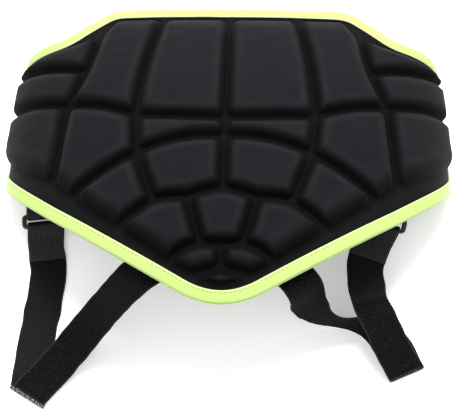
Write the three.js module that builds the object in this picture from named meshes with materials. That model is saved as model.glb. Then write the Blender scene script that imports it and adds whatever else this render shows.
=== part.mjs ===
// A hip pad for sport, lying dome up on its two side edges. The moulded foam has raised cells between
// grooves and a thin flange all round, closed by a folded edge tape. A webbing loop for each thigh runs from
// under the lower edge to a plastic buckle, which a short webbing tab holds inside the wing.
// Millimetres, +Z up. +X is across the hips, +Y is towards the waist and -Y towards the lower tip.

import * as THREE from 'three';

// Driving sizes of the moulded pad
const HALF_WIDTH = 178.9;
const CROWN_HEIGHT = 91;
const PAD_LENGTH = 270;
const FLANGE_THICKNESS = 4.5;
const CELL_RELIEF = 8.5;
const LOW_CELL_RELIEF = 4;
const GROOVE_WIDTH = 3.6;
const CELL_ROUNDING = 9;
const WAIST_ROUNDING = 13;
const STEEP_WALL = 6;
const GENTLE_WALL = 13;

// Driving sizes of the edge tape
const TAPE_THICKNESS = 1.2;
const TAPE_REACH = 10;
const TAPE_ROUNDING = 0.6;

// Driving sizes of the webbing and the buckles
const STRAP_WIDTH = 30;
const STRAP_THICKNESS = 1.6;
const HEM_LENGTH = 30;
const SEWN_LENGTH = 22;
const TAB_TAIL = 11;
const BUCKLE_BAR = 3.6;
const BUCKLE_THICKNESS = 3;
const BUCKLE_BEVEL = 0.8;
const BUCKLE_SIDE = 4;
const BUCKLE_PITCH = 9;
const BUCKLE_CORNER = 4;
const SLOT_CLEARANCE = 1.2;

// Clearance between neighbouring pieces, and between the pad's hollow face and the webbing sewn to it
const GAP = 0.3;
const SEAT_CLEARANCE = 1.4;

// The form of the arch: a rounded-off ellipse whose ends stand upright on the surface, narrower and lower
// towards the waist
const ROUNDNESS = 2.3;
const WIDTH_TAPER = 0.12;
const WAIST_FALL = 0.71;
const LENGTHWISE_CURVE = 1.2;

// How finely the rounded forms are cut
const OUTLINE_STEP = 12;
const CELL_STEP = 13;
const ARC_STEP = Math.PI / 6;
const GREATEST_CORNER_SHARE = 0.46;
const PATTERN_BEND = 0.0001;
const MOST_PASSES = 60;

class WingProfile extends THREE.Curve {
  getPoint(t, target = new THREE.Vector2()) {
    const angle = t * Math.PI / 2;
    const across = Math.sin(angle) ** (2 / ROUNDNESS);
    const up = Math.cos(angle) ** (2 / ROUNDNESS);
    return target.set(HALF_WIDTH * across, CROWN_HEIGHT * up);
  }
}

const wingProfile = new WingProfile();
wingProfile.arcLengthDivisions = 600;
const HALF_GIRTH = wingProfile.getLength();

// Corners of the finished edge, right half, from the middle of the waist to the lower tip. Across is a share
// of the half girth and along a share of the pad's length. Radius is a share of the tape's reach.
const EDGE_CORNERS = [
  { across: 0, along: 0.505, radius: 12 },
  { across: 0.48, along: 0.507, radius: 3.5 },
  { across: 0.66, along: 0.401, radius: 4 },
  { across: 1, along: 0.358, radius: 1.5 },
  { across: 1, along: -0.030, radius: 1.5 },
  { across: 0.60, along: -0.238, radius: 12 },
  { across: 0, along: -0.531, radius: 6.1 },
];

// Where grooves meet, right half, in the same shares. A gentle point borders on a long outer slope. Rounding
// is the radius of the cells' corners there, in millimetres.
const JUNCTIONS = {
  waistMiddle: { across: 0, along: 0.456, gentle: true, rounding: WAIST_ROUNDING },
  waistInner: { across: 0.258, along: 0.459, gentle: true, rounding: WAIST_ROUNDING },
  waistOuter: { across: 0.448, along: 0.463, gentle: true, rounding: WAIST_ROUNDING },
  shoulder: { across: 0.507, along: 0.388 },
  wingWaist: { across: 0.600, along: 0.366 },
  wingTop: { across: 0.938, along: 0.314 },
  wingUpper: { across: 0.938, along: 0.283, gentle: true },
  wingLower: { across: 0.938, along: 0.156, gentle: true },
  wingFoot: { across: 0.938, along: 0.010, gentle: true },
  upperFork: { across: 0.534, along: 0.243 },
  outerCross: { across: 0.584, along: 0.123 },
  innerCross: { across: 0.317, along: 0.067 },
  middleCross: { across: 0, along: 0.054 },
  crescentEnd: { across: 0.299, along: -0.056 },
  crescentMiddle: { across: 0, along: -0.006 },
  hipFoot: { across: 0.592, along: -0.135, gentle: true },
  hipRim: { across: 0.520, along: -0.184, gentle: true },
  seatFork: { across: 0.230, along: -0.206 },
  seatRim: { across: 0.345, along: -0.286, gentle: true },
  fanTop: { across: 0.114, along: -0.197 },
  fanMiddle: { across: 0, along: -0.169 },
  fanFoot: { across: 0.068, along: -0.330 },
  fanFootMiddle: { across: 0, along: -0.333 },
  tailRim: { across: 0.170, along: -0.386, gentle: true },
  tailFoot: { across: 0.095, along: -0.418, gentle: true },
  tailMiddle: { across: 0, along: -0.396, gentle: true },
  tipSide: { across: 0.085, along: -0.431, gentle: true },
  tipTop: { across: 0, along: -0.402, gentle: true },
  tipFoot: { across: 0, along: -0.451, gentle: true },
};

// Grooves that aren't straight. Bow is a share of the groove's length, to the left of its direction.
const BOWED_GROOVES = [
  { from: 'innerCross', to: 'waistInner', bow: -0.03 },
  { from: 'innerCross', to: 'outerCross', bow: 0.05 },
  { from: 'outerCross', to: 'wingLower', bow: 0.04 },
  { from: 'upperFork', to: 'wingUpper', bow: 0.04 },
  { from: 'crescentEnd', to: 'crescentMiddle', bow: -0.07 },
  { from: 'hipRim', to: 'crescentEnd', bow: -0.04 },
  { from: 'fanTop', to: 'fanMiddle', bow: -0.05 },
  { from: 'seatFork', to: 'fanTop', bow: -0.05 },
  { from: 'seatRim', to: 'seatFork', bow: -0.04 },
  { from: 'tailRim', to: 'fanFoot', bow: -0.10 },
];

// Cells of the right half, by their junctions. Each one is mirrored.
const PAIRED_CELLS = {
  waistInner: ['waistMiddle', 'middleCross', 'innerCross', 'waistInner'],
  waistOuter: ['waistInner', 'innerCross', 'outerCross', 'upperFork', 'shoulder', 'waistOuter'],
  wingTop: ['shoulder', 'upperFork', 'wingUpper', 'wingTop', 'wingWaist'],
  wingMiddle: ['upperFork', 'outerCross', 'wingLower', 'wingUpper'],
  wingFoot: ['outerCross', 'hipFoot', 'wingFoot', 'wingLower'],
  hip: ['innerCross', 'crescentEnd', 'hipRim', 'hipFoot', 'outerCross'],
  crescent: ['middleCross', 'crescentMiddle', 'crescentEnd', 'innerCross'],
  seat: ['crescentMiddle', 'fanMiddle', 'fanTop', 'seatFork', 'crescentEnd'],
  seatSide: ['crescentEnd', 'seatFork', 'seatRim', 'hipRim'],
  fanSide: ['fanTop', 'fanFoot', 'tailRim', 'seatRim', 'seatFork'],
  tail: ['fanFootMiddle', 'tailMiddle', 'tailFoot', 'tailRim', 'fanFoot'],
};

// Cells on the middle line, by their right half from top to bottom
const MIDDLE_CELLS = {
  fanMiddle: { corners: ['fanMiddle', 'fanTop', 'fanFoot', 'fanFootMiddle'], relief: CELL_RELIEF },
  tip: { corners: ['tipTop', 'tipSide', 'tipFoot'], relief: LOW_CELL_RELIEF },
};

// Rings of a cell from its foot to its crown: inset as a share of the wall's run, rise of the relief
const CELL_RINGS = [
  { inset: 0, rise: 0 },
  { inset: 0.4, rise: 0.62 },
  { inset: 1, rise: 0.92 },
];
const CLEAR_SHARE = 0.8;
const WALL_GROWTH = 0.6;
const MIDWAY_SHARE = 0.5;

// The thigh loops. Places are shares of the half width and the pad's length in plan, or of the half girth and
// the length on the pad. Heights are shares of the strap's width. Angles are in degrees, and pitch lifts the
// buckle's tab end.
const THIGH_LOOPS = [
  {
    side: 'left',
    buckle: { across: -0.848, along: -0.168, height: 0, turn: 7, pitch: 0 },
    tab: { across: -0.855, along: 0.06 },
    fold: { across: -0.887, along: -0.7065, turn: -30.5, runAOnTop: false },
    sewn: { near: { across: -0.265, along: -0.404 }, far: { across: -0.172, along: -0.350 } },
  },
  {
    side: 'right',
    buckle: { across: 0.702, along: -0.194, height: 0.99, turn: -13.5, pitch: 12 },
    tab: { across: 0.775, along: 0.03 },
    fold: { across: 0.825, along: -0.6186, turn: 24, runAOnTop: true },
    sewn: { near: { across: 0.253, along: -0.419 }, far: { across: 0.178, along: -0.350 } },
  },
];

// Stations of the run from the buckle to the fold, in the same shares. Height is over a strap lying down or
// standing on its edge, in shares of the strap's width. Roll is in degrees.
const BUCKLE_RUNS = {
  left: [
    { across: -0.842, along: -0.225, height: 0, roll: 0 },
    { across: -0.832, along: -0.270, height: 0, roll: 0 },
    { across: -0.823, along: -0.315, height: 0, roll: 0 },
    { across: -0.832, along: -0.394, height: 0, roll: 0 },
    { across: -0.856, along: -0.522, height: 0, roll: 0 },
    { across: -0.873, along: -0.626, height: 0, roll: 0 },
  ],
  right: [
    { across: 0.641, along: -0.281, height: 1.04, roll: -4 },
    { across: 0.628, along: -0.318, height: 1.04, roll: -4 },
    { across: 0.634, along: -0.376, height: 1.02, roll: -8 },
    { across: 0.650, along: -0.427, height: 1.00, roll: -10 },
    { across: 0.691, along: -0.481, height: 0.98, roll: -10 },
    { across: 0.742, along: -0.541, height: 0.62, roll: -5 },
    { across: 0.792, along: -0.586, height: 0.22, roll: 0 },
  ],
};

// Stations of the run from the fold back under the pad, in the same terms, but with the height in shares of
// the height at which the webbing comes out from under the pad. Bearing is the way the strap's width points
// where it doesn't lie square to the run, in degrees.
const PAD_RUNS = {
  left: [
    { across: -0.776, along: -0.624, height: 0.03, roll: 0 },
    { across: -0.686, along: -0.562, height: 0.14, roll: 0 },
    { across: -0.604, along: -0.514, height: 0.32, roll: 0 },
    { across: -0.527, along: -0.478, height: 0.55, roll: 0 },
    { across: -0.464, along: -0.455, height: 0.77, roll: 0 },
  ],
  right: [
    { across: 0.799, along: -0.576, height: 0, roll: -2 },
    { across: 0.751, along: -0.527, height: 0, roll: -20 },
    { across: 0.691, along: -0.495, height: 0, roll: -50 },
    { across: 0.619, along: -0.475, height: 0, roll: -76 },
    { across: 0.556, along: -0.473, height: 0, roll: 80, bearing: 0 },
    { across: 0.499, along: -0.474, height: 0.04, roll: 69, bearing: 0 },
    { across: 0.435, along: -0.473, height: 0.17, roll: 59, bearing: 4 },
    { across: 0.396, along: -0.464, height: 0.38, roll: 45, bearing: 12 },
    { across: 0.366, along: -0.450, height: 0.61, roll: 30, bearing: 24 },
  ],
};
const RUN_STEP = 9;
const TURN_POINTS = 6;

// Where a thigh loop comes out from under the pad: how far outside the sewn part and how far off the pad, in
// shares of its width. A buckle's tab twists at these shares of its free length.
const EXIT_REACH = 0.3;
const EXIT_DROP = 0.08;
const TWIST_SHARES = [0.3, 0.6, 0.85];

// A fold's width is at most this many times the webbing's. A hem comes down from the bar over this many times
// the wrap's radius.
const MOST_WIDENING = 2;
const HEM_FALL = 4;

// Where a place in the flat pattern lies on the arch, and which way is out of it
function shellPoint(place, lift) {
  const unit = wingProfile.getPointAt(Math.min(Math.abs(place.across) / HALF_GIRTH, 1));
  const share = place.along / PAD_LENGTH;
  const widthShare = 1 - WIDTH_TAPER * share;
  const heightShare = 1 - WAIST_FALL * share - LENGTHWISE_CURVE * share ** 2;
  const side = Math.sign(place.across);
  const u = unit.x / HALF_WIDTH;
  const w = unit.y / CROWN_HEIGHT;
  const widthSlope = -WIDTH_TAPER / PAD_LENGTH / widthShare;
  const heightSlope = (-WAIST_FALL - 2 * LENGTHWISE_CURVE * share) / PAD_LENGTH / heightShare;
  const outward = new THREE.Vector3(
    side * u ** (ROUNDNESS - 1) / (HALF_WIDTH * widthShare),
    -(u ** ROUNDNESS) * widthSlope - w ** ROUNDNESS * heightSlope,
    w ** (ROUNDNESS - 1) / (CROWN_HEIGHT * heightShare),
  ).normalize();
  const onArch = new THREE.Vector3(side * unit.x * widthShare, place.along, unit.y * heightShare);
  return onArch.addScaledVector(outward, lift);
}

// A closed mesh, gathered ring by ring
class ClosedMesh {
  constructor() {
    this.points = [];
    this.faces = [];
  }

  addRing(points) {
    const first = this.points.length;
    this.points.push(...points);
    return points.map((point, i) => first + i);
  }

  // Joins two rings of the same count. The second lies to the left of the first one's direction. Each four
  // points are cut along the diagonal that leans forward or the one that leans back.
  addStrip(ring, next, leaningBack = false) {
    ring.forEach((a, i) => {
      const j = (i + 1) % ring.length;
      if (leaningBack) {
        this.faces.push([a, ring[j], next[i]], [ring[j], next[j], next[i]]);
      } else {
        this.faces.push([a, ring[j], next[j]], [a, next[j], next[i]]);
      }
    });
  }

  addFan(ring, centre) {
    ring.forEach((a, i) => this.faces.push([a, ring[(i + 1) % ring.length], centre]));
  }

  toGeometry() {
    const geometry = new THREE.BufferGeometry();
    const places = this.points.flatMap((point) => point.toArray());
    geometry.setAttribute('position', new THREE.Float32BufferAttribute(places, 3));
    geometry.setIndex(this.faces.flat());
    geometry.computeVertexNormals();
    return geometry;
  }
}

// A closed outline of bowed sides and round corners. Each corner has x, y and radius, and the bow and the
// wall of the side that starts there.
function roundedOutline(corners, step) {
  const count = corners.length;
  const sides = corners.map((corner, i) => {
    const next = corners[(i + 1) % count];
    const run = new THREE.Vector2(next.x - corner.x, next.y - corner.y);
    return { start: new THREE.Vector2(corner.x, corner.y), run, length: run.length(), bow: corner.bow || 0 };
  });
  const turns = corners.map((corner, i) => {
    const [arriving, leaving] = [sides[(i + count - 1) % count].run, sides[i].run];
    return Math.abs(Math.atan2(arriving.cross(leaving), arriving.dot(leaving)));
  });
  const reaches = corners.map((corner, i) => Math.min(
    corner.radius * Math.tan(turns[i] / 2),
    GREATEST_CORNER_SHARE * Math.min(sides[(i + count - 1) % count].length, sides[i].length),
  ));
  const bowOf = (side, t) => (
    new THREE.Vector2(-side.run.y, side.run.x).multiplyScalar(4 * side.bow * t * (1 - t))
  );

  const points = [];
  corners.forEach((corner, i) => {
    const [before, after] = [sides[(i + count - 1) % count], sides[i]];
    const wallBefore = corners[(i + count - 1) % count].wall;
    const arcLength = turns[i] * reaches[i] / Math.tan(turns[i] / 2 + 1e-9);
    const arcPieces = Math.max(1, Math.round(turns[i] / ARC_STEP), Math.round(arcLength / step));
    for (let k = 0; k <= arcPieces; k += 1) {
      const share = k / arcPieces;
      const backT = 1 - reaches[i] * (1 - share) / before.length;
      const onT = reaches[i] * share / after.length;
      const back = before.start.clone().addScaledVector(before.run, backT).add(bowOf(before, backT));
      const on = after.start.clone().addScaledVector(after.run, onT).add(bowOf(after, onT));
      const point = back.lerp(on, share);
      points.push({ x: point.x, y: point.y, wall: wallBefore + (corner.wall - wallBefore) * share });
    }
    const nextReach = reaches[(i + 1) % count];
    const straight = after.length - reaches[i] - nextReach;
    const pieces = Math.max(1, Math.round(straight / step));
    for (let k = 1; k < pieces; k += 1) {
      const t = (reaches[i] + straight * k / pieces) / after.length;
      const point = after.start.clone().addScaledVector(after.run, t).add(bowOf(after, t));
      points.push({ x: point.x, y: point.y, wall: corner.wall });
    }
  });
  return points;
}

// The direction into a counter-clockwise outline at each of its points
function inwardDirections(outline) {
  return outline.map((point, i) => {
    const before = outline[(i + outline.length - 1) % outline.length];
    const after = outline[(i + 1) % outline.length];
    const a = new THREE.Vector2(point.x - before.x, point.y - before.y).normalize();
    const b = new THREE.Vector2(after.x - point.x, after.y - point.y).normalize();
    const along = a.add(b).normalize();
    return new THREE.Vector2(-along.y, along.x);
  });
}

function insetOutline(outline, distances) {
  const inward = inwardDirections(outline);
  return outline.map((point, i) => {
    const distance = Array.isArray(distances) ? distances[i] : distances;
    return { x: point.x + inward[i].x * distance, y: point.y + inward[i].y * distance, wall: point.wall };
  });
}

// The radius of the largest circle inside an outline that touches it at one point
function touchingRadius(outline, index, inward) {
  const from = outline[index];
  return outline.reduce((least, point) => {
    const reach = new THREE.Vector2(point.x - from.x, point.y - from.y);
    const depth = reach.dot(inward);
    return depth > 1e-6 ? Math.min(least, reach.lengthSq() / (2 * depth)) : least;
  }, Infinity);
}

function onShell(outline, lift) {
  return outline.map((point) => shellPoint({ across: point.x, along: point.y }, lift));
}

// The finished edge, counter-clockwise from the middle of the waist
function finishedEdge() {
  const right = EDGE_CORNERS.map((corner) => ({
    x: corner.across * HALF_GIRTH,
    y: corner.along * PAD_LENGTH,
    radius: corner.radius * TAPE_REACH,
    wall: 0,
  }));
  const left = right.filter((corner) => corner.x > 0).map((corner) => ({ ...corner, x: -corner.x }));
  const loop = [right[0], ...left, right[right.length - 1], ...right.slice(1, -1).reverse()];
  return roundedOutline(loop, OUTLINE_STEP);
}

function bowBetween(from, to) {
  const along = BOWED_GROOVES.find((row) => row.from === from && row.to === to);
  const against = BOWED_GROOVES.find((row) => row.from === to && row.to === from);
  return (along ? along.bow : 0) - (against ? against.bow : 0);
}

// The corners of a cell, each a junction on one side of the middle line
function cellCorners(loop) {
  const places = loop.map(({ name, side }) => ({
    x: side * JUNCTIONS[name].across * HALF_GIRTH,
    y: JUNCTIONS[name].along * PAD_LENGTH,
  }));
  const walls = loop.map(({ name }, i) => {
    const next = loop[(i + 1) % loop.length].name;
    return JUNCTIONS[name].gentle && JUNCTIONS[next].gentle ? GENTLE_WALL : STEEP_WALL;
  });
  return loop.map(({ name, side }, i) => {
    const next = loop[(i + 1) % loop.length];
    const half = JUNCTIONS[name].across > 0 ? side : next.side;
    return {
      ...places[i],
      wall: walls[i],
      bow: half * bowBetween(name, next.name),
      radius: JUNCTIONS[name].rounding || CELL_ROUNDING,
    };
  });
}

function sideOf(names, side) {
  return names.map((name) => ({ name, side }));
}

function signedArea(outline) {
  return outline.reduce((sum, a, i) => {
    const b = outline[(i + 1) % outline.length];
    return sum + (a.x * b.y - b.x * a.y) / 2;
  }, 0);
}

function counterClockwise(outline) {
  return signedArea(outline) > 0 ? outline : [...outline].reverse();
}

// The foot outline of every cell, with its relief
function cellFeet() {
  const loops = Object.values(PAIRED_CELLS).flatMap((corners) => [
    { loop: sideOf(corners, 1), relief: CELL_RELIEF },
    { loop: sideOf([...corners].reverse(), -1), relief: CELL_RELIEF },
  ]);
  Object.values(MIDDLE_CELLS).forEach(({ corners, relief }) => {
    const otherHalf = sideOf(corners.slice(1, -1).reverse(), -1);
    loops.push({ loop: [...sideOf(corners, 1), ...otherHalf], relief });
  });
  return loops.map(({ loop, relief }) => {
    const outline = counterClockwise(roundedOutline(cellCorners(loop), CELL_STEP));
    return { foot: insetOutline(outline, GROOVE_WIDTH / 2), relief };
  });
}

function towardsCentre(outline, centre, share) {
  return outline.map((point) => ({
    x: point.x + (centre.x - point.x) * share,
    y: point.y + (centre.y - point.y) * share,
  }));
}

function cellCentre(outline) {
  const sum = new THREE.Vector2();
  outline.forEach((point) => sum.add(point));
  return { x: sum.x / outline.length, y: sum.y / outline.length };
}

// How far in from its foot a cell's wall runs at each point: its own run, less where the cell is narrow or
// its corner tight, and changing only gradually from point to point
function wallRuns(foot) {
  const inward = inwardDirections(foot);
  const runs = foot.map((point, i) => (
    Math.min(point.wall, CLEAR_SHARE * touchingRadius(foot, i, inward[i]))
  ));
  const count = foot.length;
  [1, -1].forEach((direction) => {
    let i = 0;
    for (let passed = 0; passed < 2 * count; passed += 1) {
      const j = (i + direction + count) % count;
      const step = Math.hypot(foot[j].x - foot[i].x, foot[j].y - foot[i].y) * WALL_GROWTH;
      runs[j] = Math.min(runs[j], runs[i] + step);
      i = j;
    }
  });
  return runs;
}

// The angle at c between the lines to a and b
function angleAt(c, a, b) {
  const [toA, toB] = [a.clone().sub(c), b.clone().sub(c)];
  return Math.abs(Math.atan2(toA.cross(toB), toA.dot(toB)));
}

// Swaps the shared side of two triangles for the other diagonal wherever that makes them less thin, so that
// no triangle takes a short cut across the curve of the pad
function fattened(triangles, points) {
  let current = triangles;
  let swapped = true;
  for (let pass = 0; swapped && pass < MOST_PASSES; pass += 1) {
    swapped = false;
    const sides = new Map();
    const touched = new Set();
    const next = current.map((triangle) => [...triangle]);
    current.forEach((triangle, index) => triangle.forEach((a, k) => {
      const [b, c] = [triangle[(k + 1) % 3], triangle[(k + 2) % 3]];
      const across = sides.get(`${b} ${a}`);
      sides.set(`${a} ${b}`, { index, c });
      if (!across || touched.has(index) || touched.has(across.index)) {
        return;
      }
      const [p, q, r, d] = [a, b, c, across.c].map((i) => points[i]);
      if (angleAt(r, p, q) + angleAt(d, p, q) > Math.PI + 1e-6) {
        next[index] = [c, a, across.c];
        next[across.index] = [across.c, b, c];
        touched.add(index);
        touched.add(across.index);
        swapped = true;
      }
    }));
    current = next;
  }
  return current;
}

function mouldedPad() {
  const mesh = new ClosedMesh();
  const edge = insetOutline(finishedEdge(), TAPE_THICKNESS + GAP);
  const shelf = insetOutline(finishedEdge(), TAPE_REACH + 2 * GAP);
  const feet = cellFeet();

  const outerEdge = mesh.addRing(onShell(edge, FLANGE_THICKNESS));
  const innerEdge = mesh.addRing(onShell(edge, 0));
  const outerShelf = mesh.addRing(onShell(shelf, FLANGE_THICKNESS));
  const innerShelf = mesh.addRing(onShell(shelf, 0));
  mesh.addStrip(outerEdge, outerShelf);
  mesh.addStrip(innerEdge, outerEdge);
  mesh.addStrip(innerShelf, innerEdge);

  const outerFeet = [];
  const innerFeet = [];
  feet.forEach(({ foot, relief }) => {
    const walls = wallRuns(foot);
    const outlines = CELL_RINGS.map(({ inset }) => insetOutline(foot, walls.map((wall) => wall * inset)));
    const rings = CELL_RINGS.map(({ rise }, i) => (
      mesh.addRing(onShell(outlines[i], FLANGE_THICKNESS + relief * rise))
    ));
    const centre = cellCentre(foot);
    const crownOutline = towardsCentre(outlines[outlines.length - 1], centre, MIDWAY_SHARE);
    rings.push(mesh.addRing(onShell(crownOutline, FLANGE_THICKNESS + relief)));
    rings.slice(1).forEach((ring, i) => mesh.addStrip(rings[i], ring));
    const [crown] = mesh.addRing(onShell([centre], FLANGE_THICKNESS + relief));
    mesh.addFan(rings[rings.length - 1], crown);
    outerFeet.push(rings[0]);

    const underside = mesh.addRing(onShell(foot, 0));
    const underMidway = mesh.addRing(onShell(towardsCentre(foot, centre, MIDWAY_SHARE), 0));
    const [underCentre] = mesh.addRing(onShell([centre], 0));
    mesh.addStrip([...underside].reverse(), [...underMidway].reverse());
    mesh.addFan([...underMidway].reverse(), underCentre);
    innerFeet.push(underside);
  });

  // A slight bend keeps the points on straight sides, which would otherwise be passed over
  const bent = ({ x, y }) => new THREE.Vector2(x + PATTERN_BEND * y ** 2, y + PATTERN_BEND * x ** 2 / 2);
  const contour = shelf.map(bent);
  const holes = feet.map(({ foot }) => foot.map(bent));
  const flat = [...contour, ...holes.flat()];
  const outer = [...outerShelf, ...outerFeet.flat()];
  const inner = [...innerShelf, ...innerFeet.flat()];
  const upward = THREE.ShapeUtils.triangulateShape(contour, holes).map(([a, b, c]) => (
    THREE.ShapeUtils.area([flat[a], flat[b], flat[c]]) > 0 ? [a, b, c] : [a, c, b]
  ));
  fattened(upward, flat).forEach(([a, b, c]) => {
    mesh.faces.push([outer[a], outer[b], outer[c]], [inner[a], inner[c], inner[b]]);
  });
  return mesh.toGeometry();
}

// A tape folded round the edge. Each row of its section is how far in from the finished edge it lies, and how
// far out of the pad's inner face.
function edgeBinding() {
  const top = FLANGE_THICKNESS + GAP;
  const rounding = TAPE_THICKNESS * TAPE_ROUNDING;
  const section = [
    { inset: TAPE_REACH, lift: top },
    { inset: TAPE_REACH, lift: top + TAPE_THICKNESS },
    { inset: rounding, lift: top + TAPE_THICKNESS },
    { inset: 0, lift: top + TAPE_THICKNESS - rounding },
    { inset: 0, lift: -GAP - TAPE_THICKNESS + rounding },
    { inset: rounding, lift: -GAP - TAPE_THICKNESS },
    { inset: TAPE_REACH, lift: -GAP - TAPE_THICKNESS },
    { inset: TAPE_REACH, lift: -GAP },
    { inset: TAPE_THICKNESS, lift: -GAP },
    { inset: TAPE_THICKNESS, lift: top },
  ];
  const mesh = new ClosedMesh();
  const edge = finishedEdge();
  const rings = section.map(({ inset, lift }) => mesh.addRing(onShell(insetOutline(edge, inset), lift)));
  rings.forEach((ring, i) => mesh.addStrip(rings[(i + 1) % rings.length], ring, true));
  return mesh.toGeometry();
}

// A flat webbing through stations, each a centre and the direction of its width, kept above the surface.
// The width is measured square to the run, so that the edges stay straight where the webbing is folded at an
// angle.
function webbing(stations) {
  const mesh = new ClosedMesh();
  const corners = [[-1, -1], [-1, 1], [1, 1], [1, -1]];
  const rings = stations.map(({ centre, ruling, halfWidth: foldedWidth }, i) => {
    const before = stations[Math.max(i - 1, 0)].centre;
    const after = stations[Math.min(i + 1, stations.length - 1)].centre;
    const heading = after.clone().sub(before).normalize();
    const face = ruling.clone().cross(heading);
    const halfWidth = foldedWidth || STRAP_WIDTH / 2 / Math.max(face.length(), 1 / MOST_WIDENING);
    face.normalize();
    const lowest = halfWidth * Math.abs(ruling.z) + STRAP_THICKNESS / 2 * Math.abs(face.z);
    const clear = centre.clone().setZ(Math.max(centre.z, lowest));
    face.multiplyScalar(STRAP_THICKNESS / 2);
    return mesh.addRing(corners.map(([across, up]) => (
      clear.clone().addScaledVector(ruling, across * halfWidth).addScaledVector(face, up)
    )));
  });
  for (let i = 1; i < rings.length; i += 1) {
    mesh.addStrip(rings[i - 1], rings[i]);
  }
  const [first, last] = [rings[0], rings[rings.length - 1]];
  mesh.faces.push([first[0], first[2], first[1]], [first[0], first[3], first[2]]);
  mesh.faces.push([last[0], last[1], last[2]], [last[0], last[2], last[3]]);
  return mesh.toGeometry();
}

// From a bar's centre to the middle of the webbing that goes round it, and between two plies of webbing
const BAR_REACH = Math.hypot(BUCKLE_BAR / 2, (BUCKLE_THICKNESS - BUCKLE_BEVEL) / 2);
const WRAP_RADIUS = BAR_REACH + (GAP + STRAP_THICKNESS) / 2;
const PLY_PITCH = STRAP_THICKNESS + GAP;

function degrees(angle) {
  return THREE.MathUtils.degToRad(angle);
}

// A buckle's own directions: along its bars, towards its tab, and up out of its face
function buckleFrame(loop) {
  const { turn, pitch } = loop.buckle;
  const along = new THREE.Vector3(Math.cos(degrees(turn)), Math.sin(degrees(turn)), 0);
  const level = new THREE.Vector3(-along.y, along.x, 0);
  const towardsTab = level.clone().multiplyScalar(Math.cos(degrees(pitch)));
  towardsTab.z = Math.sin(degrees(pitch));
  const up = along.clone().cross(towardsTab);
  const lowerBar = new THREE.Vector3(
    loop.buckle.across * HALF_WIDTH,
    loop.buckle.along * PAD_LENGTH,
    STRAP_THICKNESS / 2 + WRAP_RADIUS + loop.buckle.height * STRAP_WIDTH,
  );
  const upperBar = lowerBar.clone().addScaledVector(towardsTab, BUCKLE_PITCH);
  return { along, towardsTab, up, lowerBar, upperBar };
}

// Half a turn of webbing round an axis, from one side of it to the other through the direction given
function halfTurn(axis, ruling, from, through, radius) {
  const stations = [];
  for (let k = 0; k <= TURN_POINTS; k += 1) {
    const angle = Math.PI * k / TURN_POINTS;
    const centre = axis.clone()
      .addScaledVector(from, radius * Math.cos(angle))
      .addScaledVector(through, radius * Math.sin(angle));
    stations.push({ centre, ruling: ruling.clone() });
  }
  return stations;
}

// Smooth stations through a few chosen ones
function smoothRun(chosen) {
  const centres = new THREE.CatmullRomCurve3(chosen.map((station) => station.centre), false, 'centripetal');
  const rulings = new THREE.CatmullRomCurve3(chosen.map((station) => station.ruling), false, 'centripetal');
  const stations = [];
  for (let i = 0; i < chosen.length - 1; i += 1) {
    const length = chosen[i].centre.distanceTo(chosen[i + 1].centre);
    const pieces = Math.max(1, Math.round(length / RUN_STEP));
    for (let k = 0; k < pieces; k += 1) {
      const t = (i + k / pieces) / (chosen.length - 1);
      stations.push({ centre: centres.getPoint(t), ruling: rulings.getPoint(t).normalize() });
    }
  }
  stations.push(chosen[chosen.length - 1]);
  return stations;
}

// Stations of a run between two places, from a table of shares. The width lies square to the run unless a
// bearing says otherwise.
function tableStations(start, end, rows, heightUnit) {
  const centres = rows.map((row) => {
    const lying = STRAP_THICKNESS / 2 * Math.cos(degrees(row.roll));
    const standing = STRAP_WIDTH / 2 * Math.abs(Math.sin(degrees(row.roll)));
    const height = lying + standing + row.height * heightUnit;
    return new THREE.Vector3(row.across * HALF_WIDTH, row.along * PAD_LENGTH, height);
  });
  return rows.map((row, i) => {
    const before = i > 0 ? centres[i - 1] : start;
    const after = i < rows.length - 1 ? centres[i + 1] : end;
    const heading = after.clone().sub(before).setZ(0).normalize();
    const bearing = row.bearing === undefined ? Math.atan2(heading.x, -heading.y) : degrees(row.bearing);
    const ruling = new THREE.Vector3(Math.cos(bearing), Math.sin(bearing), 0);
    ruling.multiplyScalar(Math.cos(degrees(row.roll)));
    ruling.z = Math.sin(degrees(row.roll));
    return { centre: centres[i], ruling };
  });
}

// A station on the pad's inner face, from its place in the pattern and the place it heads for
function sewnStation(place, towards, lift) {
  const heading = new THREE.Vector2(towards.across - place.across, towards.along - place.along).normalize();
  const reach = STRAP_WIDTH / 2;
  const left = { across: place.across - heading.y * reach, along: place.along + heading.x * reach };
  const right = { across: place.across + heading.y * reach, along: place.along - heading.x * reach };
  const [a, b] = [shellPoint(left, -lift), shellPoint(right, -lift)];
  return { centre: a.clone().add(b).multiplyScalar(0.5), ruling: a.sub(b).normalize() };
}

function inPattern(place) {
  return { across: place.across * HALF_GIRTH, along: place.along * PAD_LENGTH };
}

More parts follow.
